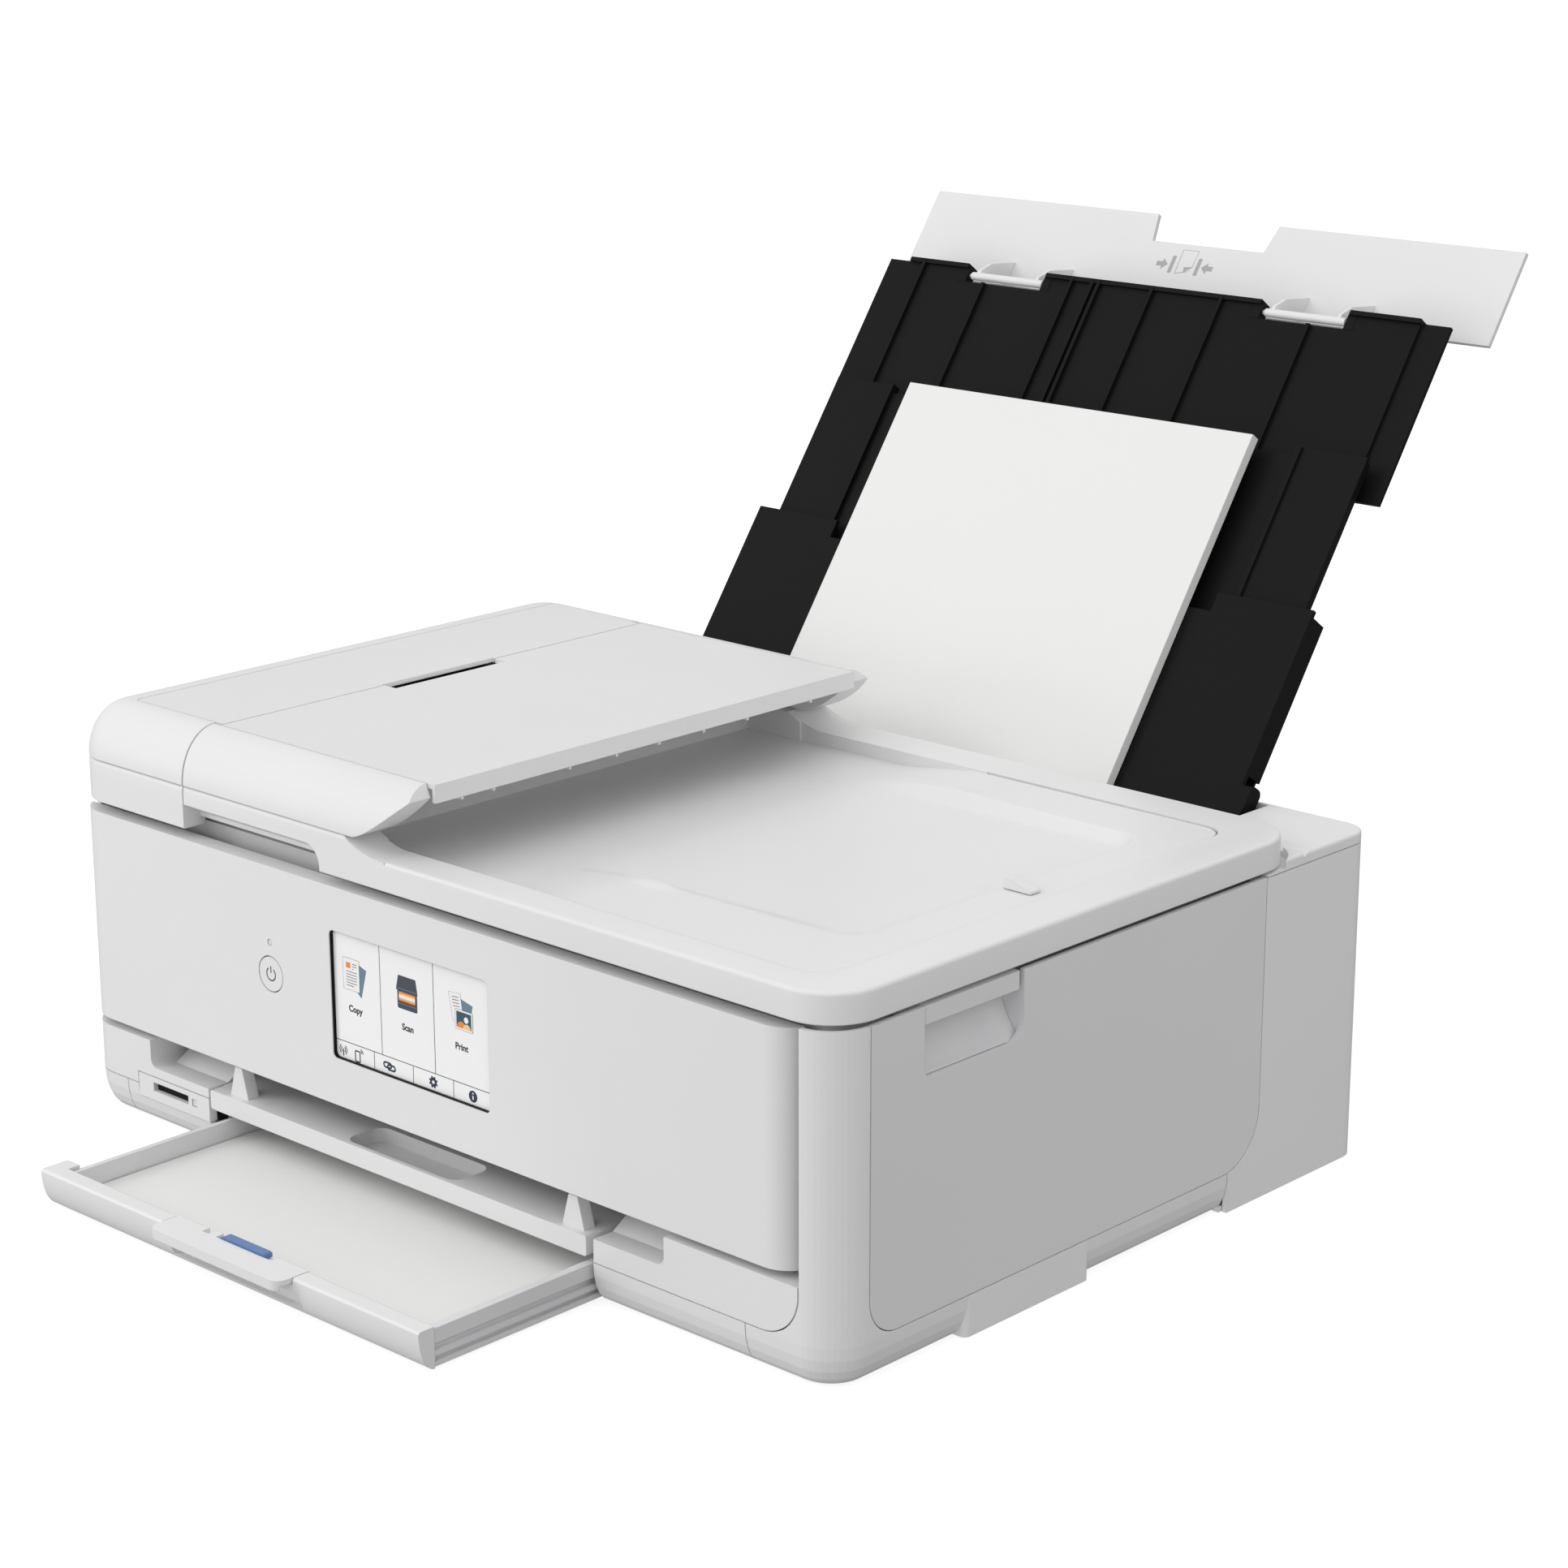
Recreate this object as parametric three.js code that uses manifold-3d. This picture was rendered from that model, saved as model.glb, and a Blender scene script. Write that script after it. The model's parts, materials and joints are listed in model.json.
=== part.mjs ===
// Desktop inkjet printer with flatbed scanner, document feeder, paper cassette and rear paper support.
// Millimetres, +X to the printer's right seen from the front, +Y to the back, +Z up.
// Every place is written in machine coordinates: X = 0 is the middle of the body, Y = 0 the front face of
// the operation panel, Z = 0 the table. The whole group is moved once, at the end, onto its own frame.

import * as THREE from 'three';
import { mergeVertices } from 'three/addons/utils/BufferGeometryUtils.js';
import Module from 'manifold-3d';

const wasm = await Module();
wasm.setup();

// ---------------------------------------------------------------- driving dimensions
const HALF_WIDTH = 234;
const DEPTH = 347.5;
const CORNER_RADIUS = 20;
const WALL = 2.4;
const GAP = 0.4;
const UNDERSIDE_Z = 0.8; // the case hangs this far above the table, on the rubber feet
const BASE_TOP = 18.5;
const BODY_TOP = 146.2;
const LID_BOTTOM = 148.4;
const LID_TOP = 161.5;
const LID_DEPTH = 296;
const FEEDER_BASE_TOP = 167.8;
const FEEDER_TOP = 192.8;
const SIDE_FRONT_Y = 20;
const REAR_SEAM_Y = 270;
const SKIRT_INSET = 8; // how far the underside curves in at the front and the sides
const OPENING_LEFT = -143.4; // the cassette and output tray share this opening
const OPENING_RIGHT = 102.9;
const TRAY_FLOOR_Z = 29;
const PULL_OUT = 92; // how far the cassette stands out in the stored pose
const FRAME_Y = 219.17; // middle of the printer from cassette handle to raised rear cover

// Rear paper support: its own frame leans back, with z along the plates and y through them.
const SUPPORT_ORIGIN = { y: 336.3, z: 158 };
const SUPPORT_LEAN = THREE.MathUtils.degToRad(35.4);
const SUPPORT_HALF_WIDTH = 171;

const COLOURS = {
  shell: { color: 0xe9e9e9, roughness: 0.55 },
  shellGrey: { color: 0xcfd0d1, roughness: 0.6 },
  black: { color: 0x202122, roughness: 0.5 },
  screen: { color: 0xf2f3f4, roughness: 0.15 },
  glass: { color: 0xa9b7bb, roughness: 0.05 },
  steel: { color: 0x9fa3a6, roughness: 0.35, metalness: 0.9 },
  rubber: { color: 0x2b2b2b, roughness: 0.9 },
  paper: { color: 0xf6f6f4, roughness: 0.9 },
  blue: { color: 0x5a78af, roughness: 0.4 },
  circuit: { color: 0x1f6a3e, roughness: 0.5 },
  cyan: { color: 0x1b8ec4, roughness: 0.4 },
  foam: { color: 0xf3f3f3, roughness: 0.95 },
};

// ---------------------------------------------------------------- solids
/** Turns a closed three.js geometry into a solid that can be joined and cut. */
function solidOf(geometry) {
  geometry.deleteAttribute('normal');
  geometry.deleteAttribute('uv');
  const merged = mergeVertices(geometry, 1e-4);
  const vertProperties = new Float32Array(merged.attributes.position.array);
  const triVerts = new Uint32Array(merged.index.array);
  return new wasm.Manifold(new wasm.Mesh({ numProp: 3, vertProperties, triVerts }));
}

/** Turns a solid back into a flat-shaded three.js geometry. */
function geometryOf(solid) {
  const mesh = solid.getMesh();
  const geometry = new THREE.BufferGeometry();
  geometry.setAttribute('position', new THREE.BufferAttribute(mesh.vertProperties, 3));
  geometry.setIndex(new THREE.BufferAttribute(mesh.triVerts, 1));
  const flat = geometry.toNonIndexed();
  flat.computeVertexNormals();
  return flat;
}

const join = (first, ...others) => others.reduce((whole, other) => whole.add(other), first);
const cut = (first, ...others) => others.reduce((whole, other) => whole.subtract(other), first);
const meet = (first, ...others) => others.reduce((whole, other) => whole.intersect(other), first);

/** Box from its low and high corner along each axis. */
function box([x0, x1], [y0, y1], [z0, z1]) {
  const geometry = new THREE.BoxGeometry(x1 - x0, y1 - y0, z1 - z0);
  geometry.translate((x0 + x1) / 2, (y0 + y1) / 2, (z0 + z1) / 2);
  return solidOf(geometry);
}

const AXIS_BASES = {
  x: [new THREE.Vector3(0, 1, 0), new THREE.Vector3(0, 0, 1), new THREE.Vector3(1, 0, 0)],
  y: [new THREE.Vector3(0, 0, 1), new THREE.Vector3(1, 0, 0), new THREE.Vector3(0, 1, 0)],
  z: [new THREE.Vector3(1, 0, 0), new THREE.Vector3(0, 1, 0), new THREE.Vector3(0, 0, 1)],
};

/** Extrudes an outline along an axis. Outlines are (y, z) for x, (z, x) for y and (x, y) for z. */
function prism(outline, axis, [from, to], curveSegments = 8) {
  const geometry = new THREE.ExtrudeGeometry(outline, { depth: to - from, bevelEnabled: false, curveSegments });
  geometry.translate(0, 0, from);
  geometry.applyMatrix4(new THREE.Matrix4().makeBasis(...AXIS_BASES[axis]));
  return solidOf(geometry);
}

/** Closed outline through the given points. */
function outline(points) {
  return new THREE.Shape(points.map(([u, v]) => new THREE.Vector2(u, v)));
}

/** Prism with a side view: points are (x, z), extruded along y. */
function sideView(points, yRange) {
  return prism(outline(points.map(([x, z]) => [z, x]).reverse()), 'y', yRange);
}

/** Rounded rectangle; radii run front left, front right, back right, back left. */
function roundedRectangle([x0, x1], [y0, y1], radii) {
  const [fl, fr, br, bl] = Array.isArray(radii) ? radii : [radii, radii, radii, radii];
  const shape = new THREE.Shape();
  shape.moveTo(x0 + fl, y0);
  shape.lineTo(x1 - fr, y0);
  if (fr > 0) shape.absarc(x1 - fr, y0 + fr, fr, -Math.PI / 2, 0, false);
  shape.lineTo(x1, y1 - br);
  if (br > 0) shape.absarc(x1 - br, y1 - br, br, 0, Math.PI / 2, false);
  shape.lineTo(x0 + bl, y1);
  if (bl > 0) shape.absarc(x0 + bl, y1 - bl, bl, Math.PI / 2, Math.PI, false);
  shape.lineTo(x0, y0 + fl);
  if (fl > 0) shape.absarc(x0 + fl, y0 + fl, fl, Math.PI, 1.5 * Math.PI, false);
  return shape;
}

/** Upright block with rounded plan corners and, where asked, a curved foot or crown. */
function block(xs, ys, [z0, z1], radii = 0, { foot, crown, segments = 6 } = {}) {
  const plan = roundedRectangle(xs, ys, radii);
  const curve = foot ?? crown;
  if (!curve) return prism(plan, 'z', [z0, z1], segments);
  const { height, inset } = curve;
  const geometry = new THREE.ExtrudeGeometry(plan, {
    depth: z1 - z0, // longer than needed, so that only one of the two curved ends is kept
    bevelEnabled: true,
    bevelThickness: height,
    bevelSize: inset,
    bevelOffset: -inset,
    bevelSegments: 5,
    curveSegments: segments,
  });
  geometry.translate(0, 0, foot ? z0 + height : z0 - height);
  const keep = box([xs[0] - 1, xs[1] + 1], [ys[0] - 1, ys[1] + 1], [z0, z1]);
  return meet(solidOf(geometry), keep);
}

/** Round bar along an axis. at holds the two coordinates across it, in x, y, z order. */
function rod(axis, at, radius, [from, to], segments = 24) {
  const geometry = new THREE.CylinderGeometry(radius, radius, to - from, segments);
  const middle = (from + to) / 2;
  if (axis === 'x') geometry.rotateZ(Math.PI / 2).translate(middle, at[0], at[1]);
  if (axis === 'y') geometry.translate(at[0], middle, at[1]);
  if (axis === 'z') geometry.rotateX(Math.PI / 2).translate(at[0], at[1], middle);
  return solidOf(geometry);
}

const printer = new THREE.Group();

/** Adds one named sub-part. */
function piece(name, solid, look, parent = printer) {
  const material = new THREE.MeshStandardMaterial({ metalness: 0, ...COLOURS[look] });
  const mesh = new THREE.Mesh(geometryOf(solid), material);
  mesh.name = name;
  parent.add(mesh);
  return mesh;
}

const SIDES = [['left', -1], ['right', 1]];
/** A range along x on one side of the printer: side is -1 or 1, near and far are distances from x = 0. */
const across = (side, near, far) => (side > 0 ? [near, far] : [-far, -near]);

// ---------------------------------------------------------------- lower case
const CASE_CORNERS = [CORNER_RADIUS, CORNER_RADIUS, 14, 14];
const FRONT_PLINTH = [76.5, 155];
const REAR_PLINTH = [249, 346.5];
const RAIL_Z = [8.7, 10.3];
const RAIL_START_Y = 15;
const TUNNEL_BACK_Y = 302;
const BEZEL_BACK_Y = 12;
const CAP_CORNERS = [0, 0, 12, 12];
const BEZEL_ENDS = { left: [-203, OPENING_LEFT], right: [OPENING_RIGHT, 187] };

/** Rounded case wall, one wall thick, with a foot that curves in. */
function caseWall() {
  const height = BASE_TOP - UNDERSIDE_Z;
  const foot = { height: height - 0.2, inset: SKIRT_INSET };
  const outer = block([-HALF_WIDTH, HALF_WIDTH], [0, DEPTH], [UNDERSIDE_Z, BODY_TOP], CASE_CORNERS, { foot });
  const innerCorners = CASE_CORNERS.map((r) => r - WALL);
  const inner = block([-HALF_WIDTH + WALL, HALF_WIDTH - WALL], [WALL, DEPTH - WALL],
    [UNDERSIDE_Z + WALL, BODY_TOP + 1], innerCorners, { foot: { height: height - WALL, inset: SKIRT_INSET } });
  return cut(outer, inner);
}

const CASE_WALL = caseWall();
const COVER_BOTTOM = 18.9;
const SIDE_CORNERS = { front: 16, rear: 25 }; // radii of the side cover's lower corners

/** Outline (y, z) of a side cover, grown by a margin all round. */
function sideCoverOutline(margin) {
  const [front, rear] = [SIDE_FRONT_Y + SIDE_CORNERS.front, REAR_SEAM_Y - SIDE_CORNERS.rear];
  const path = new THREE.Shape();
  path.moveTo(SIDE_FRONT_Y - margin, BODY_TOP + margin);
  path.lineTo(SIDE_FRONT_Y - margin, COVER_BOTTOM + SIDE_CORNERS.front);
  path.absarc(front, COVER_BOTTOM + SIDE_CORNERS.front, SIDE_CORNERS.front + margin, Math.PI, 1.5 * Math.PI, false);
  path.absarc(rear, COVER_BOTTOM + SIDE_CORNERS.rear, SIDE_CORNERS.rear + margin, -Math.PI / 2, 0, false);
  path.lineTo(REAR_SEAM_Y + margin, BODY_TOP + margin);
  return path;
}

/** Openings that the covers and the panel fill, all cut through the case wall. */
function caseOpenings() {
  const sides = [-1, 1].map((side) => prism(sideCoverOutline(GAP), 'x', across(side, 200, 300)));
  const corner = 19.4; // follows the right front cover's lower corner
  const front = new THREE.Shape();
  front.moveTo(BASE_TOP, -300);
  front.lineTo(300, -300);
  front.lineTo(300, 215.4);
  front.lineTo(BASE_TOP + corner, 215.4);
  front.absarc(BASE_TOP + corner, 215.4 - corner, corner, Math.PI / 2, Math.PI, false);
  return [
    ...sides,
    meet(prism(front, 'y', [-10, SIDE_FRONT_Y]), join(box([-300, 300], [-10, 9.5], [0, 300]),
      box([-220, 300], [-10, SIDE_FRONT_Y], [0, 300]), box([-300, 0], [-10, 13.2], [138, 300]))),
    box([-300, 300], [REAR_PLINTH[0] - GAP, 400], [-1, 300]),
  ];
}

function lowerCase() {
  const plinths = [-1, 1].map((side) => (
    block(across(side, 214, HALF_WIDTH), FRONT_PLINTH, [UNDERSIDE_Z, BASE_TOP], 3)));
  const rearFloor = block([-HALF_WIDTH + WALL + GAP, HALF_WIDTH - WALL - GAP], [REAR_PLINTH[0] - 2, DEPTH - WALL - GAP],
    [UNDERSIDE_Z, UNDERSIDE_Z + WALL], CAP_CORNERS.map((r) => Math.max(0, r - WALL - GAP)));
  const tunnelWalls = [
    box([OPENING_LEFT - WALL, OPENING_LEFT], [WALL, TUNNEL_BACK_Y + WALL], [UNDERSIDE_Z, BASE_TOP]),
    box([OPENING_RIGHT, OPENING_RIGHT + WALL], [WALL, TUNNEL_BACK_Y + WALL], [UNDERSIDE_Z, BASE_TOP]),
    box([OPENING_LEFT - WALL, OPENING_RIGHT + WALL], [TUNNEL_BACK_Y, TUNNEL_BACK_Y + WALL], [UNDERSIDE_Z, BASE_TOP]),
  ];
  const tunnel = box([OPENING_LEFT, OPENING_RIGHT], [-1, TUNNEL_BACK_Y], [-1, BASE_TOP + 2]);
  const rails = [
    box([OPENING_LEFT - 1, -133.4], [RAIL_START_Y, TUNNEL_BACK_Y + 1], RAIL_Z),
    box([99.3, OPENING_RIGHT + 1], [RAIL_START_Y, TUNNEL_BACK_Y + 1], RAIL_Z),
  ];
  const bezelRoom = Object.values(BEZEL_ENDS).map(([x0, x1]) => (
    box([x0 - GAP, x1 + GAP], [-1, BEZEL_BACK_Y], [-1, BASE_TOP + 1])));
  const body = join(cut(CASE_WALL, ...caseOpenings()), ...plinths, rearFloor, ...tunnelWalls);
  const feet = footPlaces().map(([x, y]) => rod('z', [x, y], FOOT_RADIUS + GAP, [-1, 2.2]));
  return cut(join(cut(body, tunnel, ...bezelRoom), ...rails), ...feet);
}

const FOOT_RADIUS = 9;
/** The four places of the rubber feet. */
function footPlaces() {
  return [-1, 1].flatMap((side) => [92, 318].map((y) => [side * 208, y]));
}

piece('lower_case', lowerCase(), 'shell');
footPlaces().forEach(([x, y], i) => {
  piece(`rubber_foot_${i + 1}`, rod('z', [x, y], FOOT_RADIUS, [0, 1.8]), 'rubber');
});

for (const [side] of SIDES) {
  const [x0, x1] = BEZEL_ENDS[side];
  let bezel = meet(CASE_WALL, box([x0, x1], [-1, BEZEL_BACK_Y - GAP], [0, BASE_TOP]));
  if (side === 'left') bezel = cut(bezel, box([-195.2, OPENING_LEFT + 1], [-1, 4.6], [12.6, BASE_TOP + 1]));
  piece(`${side}_lower_bezel`, bezel, 'shell');
}

// ---------------------------------------------------------------- front covers beside the trays
const COVER_TOP = 41.6;
const COVER_STEP = 29; // lowered stretch next to the output tray
const COVER_DEPTH = 34;

/** Front cover on one side: full height at the corner, lowered beside the tray, with a ramp behind. */
function frontCover(side, inner, step, outer, cornerRadius) {
  const shape = (inset) => {
    const [near, mid, far] = [inner + inset, step - inset, outer - inset];
    const [low, shelf, high] = [COVER_BOTTOM + inset, COVER_STEP - inset, COVER_TOP - inset];
    const r = cornerRadius - inset;
    const path = new THREE.Shape();
    path.moveTo(low, near);
    path.lineTo(low, far - r);
    path.absarc(low + r, far - r, r, Math.PI, Math.PI / 2, true);
    path.lineTo(high, far);
    path.lineTo(high, mid + 2 * inset);
    path.lineTo(shelf + 4, mid + 2 * inset);
    path.absarc(shelf + 4, mid + 2 * inset - 4, 4, Math.PI / 2, Math.PI, false);
    path.lineTo(shelf, near);
    return path;
  };
  const whole = cut(
    prism(shape(0), 'y', [0, COVER_DEPTH]),
    prism(shape(2), 'y', [WALL, COVER_DEPTH + 1]),
  );
  const ramp = prism(outline([[4, 27.4], [12, 27.4], [COVER_DEPTH, 40], [COVER_DEPTH, 43], [11, 29], [4, 29]]),
    'x', [inner, step - 4]);
  return side > 0 ? join(whole, ramp) : join(whole, ramp).mirror([1, 0, 0]);
}

const rightCover = frontCover(1, OPENING_RIGHT + 0.2, 143, 214.8, 19);
piece('right_front_cover', rightCover, 'shell');
const cardRoom = box([-195.2, OPENING_LEFT + 1], [-1, 4.6], [0, 24.6]);
const leftCover = meet(
  frontCover(-1, -OPENING_LEFT + 0.2, 185, HALF_WIDTH, 3),
  block([-HALF_WIDTH, 0], [0, COVER_DEPTH], [0, 60], [CORNER_RADIUS, 0, 0, 0]),
);
const leftCorner = meet(cut(CASE_WALL, box([-300, 300], [9.1, 400], [0, 300])),
  box([-300, -205], [-1, 20], [COVER_BOTTOM, COVER_TOP]));
piece('left_front_cover', join(cut(leftCover, cardRoom, box([-300, -227.6], [9.1, 40], [0, 60])), leftCorner), 'shell');

const CARD_PANEL = { xs: [-194.8, OPENING_LEFT - 0.3], zs: [12.9, 24.2] };
piece('card_slot_panel', cut(
  box(CARD_PANEL.xs, [0, 4.2], CARD_PANEL.zs),
  box([-184, -158.7], [-1, 5], [17.5, 21.7]),
  box([-156, -152.6], [-1, 5], [17.5, 21]),
), 'shell');
piece('card_access_lamp', box([-155.7, -152.9], [0.4, 4], [17.8, 20.7]), 'shellGrey');

// ---------------------------------------------------------------- side covers with the grip recess
const GRIP = { ys: [50.5, 109.5], zs: [117.2, 138], depth: 16, corners: [4, 9, 0, 0] };

/** Flat side cover with rounded lower corners. */
function sideCover(side, withGrip) {
  const cover = prism(sideCoverOutline(0), 'x', across(side, HALF_WIDTH - WALL, HALF_WIDTH));
  if (!withGrip) return cover;
  const [y0, y1] = GRIP.ys;
  const [z0, z1] = GRIP.zs;
  const inside = HALF_WIDTH - GRIP.depth;
  const pocket = cut(
    box([inside, HALF_WIDTH - 1], [y0 - 2, y1 + 2], [z0 - 2, z1]),
    box([inside + 2, HALF_WIDTH], [y0, y1], [z0, z1 + 1]),
  );
  const mouth = prism(roundedRectangle(GRIP.ys, [z0, BODY_TOP + 1], GRIP.corners), 'x',
    [HALF_WIDTH - 20, HALF_WIDTH + 2]);
  return join(cut(cover, mouth), cut(pocket, mouth.intersect(box([inside + 2, 300], [0, 200], [0, 200]))));
}
for (const [name, side] of SIDES) piece(`${name}_side_cover`, sideCover(side, side > 0), 'shellGrey');

// ---------------------------------------------------------------- rear box
const CAP_TOP = 151.3;
const REAR_SLOT_HALF_WIDTH = 181;

/** Rear box wall with the rear plinths, following the side cover's curved rear corner. */
function rearCover() {
  const xs = [-HALF_WIDTH, HALF_WIDTH];
  const shell = cut(
    block(xs, [200, DEPTH], [UNDERSIDE_Z, BODY_TOP - GAP], CAP_CORNERS),
    block([xs[0] + WALL, xs[1] - WALL], [0, DEPTH - WALL], [0, 200], CAP_CORNERS.map((r) => Math.max(0, r - WALL))),
  );
  const radius = SIDE_CORNERS.rear + GAP;
  const centre = { y: REAR_SEAM_Y - SIDE_CORNERS.rear, z: COVER_BOTTOM + SIDE_CORNERS.rear };
  const start = Math.acos((REAR_PLINTH[0] - centre.y) / radius);
  const reach = new THREE.Shape();
  reach.moveTo(DEPTH + 1, 0);
  reach.lineTo(DEPTH + 1, 200);
  reach.lineTo(REAR_SEAM_Y + GAP, 200);
  reach.absarc(centre.y, centre.z, radius, 0, -start, true);
  reach.lineTo(REAR_PLINTH[0], 0);
  const inlet = box([-196, -168], [DEPTH - 20, DEPTH + 1], [28, 49]);
  const socket = box([168, 182], [DEPTH - 20, DEPTH + 1], [30, 42]);
  return cut(meet(shell, prism(reach, 'x', [-300, 300])), inlet, socket);
}
piece('rear_cover', rearCover(), 'shell');

/** Cap over the rear box: two side shoulders joined behind the slot that the paper support rises from. */
function rearCap() {
  const whole = block([-HALF_WIDTH, HALF_WIDTH], [REAR_SEAM_Y + GAP, DEPTH], [BODY_TOP, CAP_TOP], CAP_CORNERS,
    { crown: { height: 1.6, inset: 1.6 } });
  const lidGap = 3;
  const lidRoom = block([-HALF_WIDTH - 1, HALF_WIDTH + 1], [200, LID_DEPTH + lidGap], [LID_BOTTOM - 1.2, 200],
    [0, 0, LID_CORNERS[2] - 2, LID_CORNERS[3] - 2]);
  const slot = box([-REAR_SLOT_HALF_WIDTH, REAR_SLOT_HALF_WIDTH], [TROUGH_BACK_Y, DEPTH - 3], [100, 200]);
  const swing = box([-REAR_SLOT_HALF_WIDTH, REAR_SLOT_HALF_WIDTH], [200, TROUGH_BACK_Y], [100, 200]);
  const [low, high] = [LID_BOTTOM + 1.1, CAP_TOP + 0.7]; // slope that clears the lid's rear edge as it opens
  const scannerRoom = box([-221, 221], [200, 290.5], [100, 200]);
  const chamfer = prism(outline([[LID_DEPTH, low], [LID_DEPTH + 1, low], [LID_DEPTH + 6.2, high], [LID_DEPTH, high]]),
    'x', [-HALF_WIDTH - 1, HALF_WIDTH + 1]);
  const shoulders = [-1, 1].map((side) => (
    box(across(side, 182, 228), [TROUGH_BACK_Y - 1, 342], [BODY_TOP - 6, CAP_TOP - 1.5])));
  const trough = box([-228, 228], [290, TROUGH_BACK_Y], [143.4, 145.4]);
  return join(cut(join(cut(whole, lidRoom, scannerRoom, swing, chamfer), ...shoulders), slot), trough);
}
const LID_CORNERS = [22, 23, 25, 25];
const TROUGH_BACK_Y = 317;
const PIVOT = { y: 333, z: 147.4 };
const pinHoles = [-1, 1].map((side) => rod('x', [PIVOT.y, PIVOT.z], 2.6, across(side, 170, 190)));
piece('rear_cap', cut(rearCap(), ...pinHoles), 'shell');
piece('power_inlet', cut(
  box([-195.6, -168.4], [DEPTH - 18, DEPTH - 0.4], [28.4, 48.6]),
  box([-192.5, -171.5], [DEPTH - 14, DEPTH + 1], [31.5, 45.5]),
), 'black');
piece('usb_socket', cut(
  box([168.4, 181.6], [DEPTH - 15, DEPTH - 0.4], [30.4, 41.6]),
  box([170.6, 179.4], [DEPTH - 11, DEPTH + 1], [32.4, 39.6]),
), 'steel');

// ---------------------------------------------------------------- operation panel
const PANEL = { xs: [-HALF_WIDTH, 211.3], zs: [45, 143.6], depth: 13.5 };
const SCREEN = { xs: [-55.5, 43.3], zs: [66.5, 124], recess: 2 };
const BUTTON = { x: -95.6, z: 94.4, radius: 7.8 };
const PANEL_LAMP = { x: -95.5, z: 108.9, radius: 1.3 };
const PANEL_HINGE = { y: 8.5, z: 138.5 };

function operationPanel() {
  const corners = [CORNER_RADIUS, 14, 0, 0];
  const shell = cut(
    block(PANEL.xs, [0, 40], PANEL.zs, corners, { segments: 8 }),
    block([PANEL.xs[0] + WALL, PANEL.xs[1] - WALL], [WALL, 41], [PANEL.zs[0] + WALL, PANEL.zs[1] - WALL],
      corners.map((r) => Math.max(0, r - WALL)), { segments: 8 }),
    box([-300, 300], [PANEL.depth, 50], [0, 200]),
    box([-300, -222], [8.8, 50], [0, 200]),
    box([-300, 300], [9, 50], [PANEL.zs[1] - 5, 200]),
  );
  return cut(
    shell,
    prism(roundedRectangleSide(SCREEN.xs, SCREEN.zs, 2.5), 'y', [-1, 10]),
    rod('y', [BUTTON.x, BUTTON.z], BUTTON.radius + 0.5, [-1, 10], 32),
    rod('y', [PANEL_LAMP.x, PANEL_LAMP.z], PANEL_LAMP.radius + 0.2, [-1, 10], 16),
  );
}

/** Rounded rectangle seen from the front, for prisms along y. */
function roundedRectangleSide([x0, x1], [z0, z1], radius) {
  return roundedRectangle([z0, z1], [x0, x1], radius);
}

piece('operation_panel', operationPanel(), 'shell');
piece('touch_screen', prism(roundedRectangleSide([SCREEN.xs[0] + 0.3, SCREEN.xs[1] - 0.3],
  [SCREEN.zs[0] + 0.3, SCREEN.zs[1] - 0.3], 2.3), 'y', [SCREEN.recess, SCREEN.recess + 4]), 'screen');
piece('power_button', rod('y', [BUTTON.x, BUTTON.z], BUTTON.radius, [0.1, 5], 32), 'shell');
piece('power_lamp', rod('y', [PANEL_LAMP.x, PANEL_LAMP.z], PANEL_LAMP.radius, [0.2, 4], 16), 'shellGrey');
piece('panel_rear_cover',
  box([-221.6, 208.5], [PANEL.depth - 1.9, PANEL.depth], [PANEL.zs[0] + 2.8, 126]), 'shellGrey');

// ---------------------------------------------------------------- output tray
const TRAY_ENDS = [OPENING_LEFT + 1.1, OPENING_RIGHT - 4];
const TRAY_BACK_Y = 185;

function outputTray() {
  const [x0, x1] = TRAY_ENDS;
  const lip = prism(roundedRectangleSide(TRAY_ENDS, [20, TRAY_FLOOR_Z], 1.2), 'y', [0, 9]);
  const plate = box([x0, x1], [8, TRAY_BACK_Y], [TRAY_FLOOR_Z - 2.4, TRAY_FLOOR_Z]);
  const pocketXs = [-53, 18];
  const pocketTub = block([pocketXs[0] - 2, pocketXs[1] + 2], [4, 25], [20.9, TRAY_FLOOR_Z], 6);
  const pocket = block(pocketXs, [2.4, 23], [22.4, TRAY_FLOOR_Z + 1], 6);
  const fin = (xLow, xHigh) => sideView([[xLow - 4.2, TRAY_FLOOR_Z - 1], [xHigh + 4.2, TRAY_FLOOR_Z - 1],
    [xHigh, 43], [xLow, 43]], [3, 9]);
  const ribs = [-110, -80, 50, 78].map((x) => (
    box([x, x + 1.6], [30, TRAY_BACK_Y - 4], [TRAY_FLOOR_Z - 0.5, TRAY_FLOOR_Z + 0.7])));
  return cut(join(lip, plate, pocketTub, fin(-127.5, -123), fin(86, 91), ...ribs), pocket);
}
piece('output_tray', outputTray(), 'shell');

// ---------------------------------------------------------------- cassette, stored pulled out
const CASSETTE_BACK_Y = TUNNEL_BACK_Y - 5 - PULL_OUT;
const CASSETTE_TOP = 17.4;
const CASSETTE_FRONT = { xs: [-142.2, 101.6], y: -PULL_OUT, top: 18.6 };
const HANDLE = { xs: [-58, 25.5], ys: [-99.7, -82.8], bottom: 16.3, top: 18.7 };
const LATCH = { xs: [-27, 1.6], ys: [-86.5, -82.2], top: 19.7 };

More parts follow.
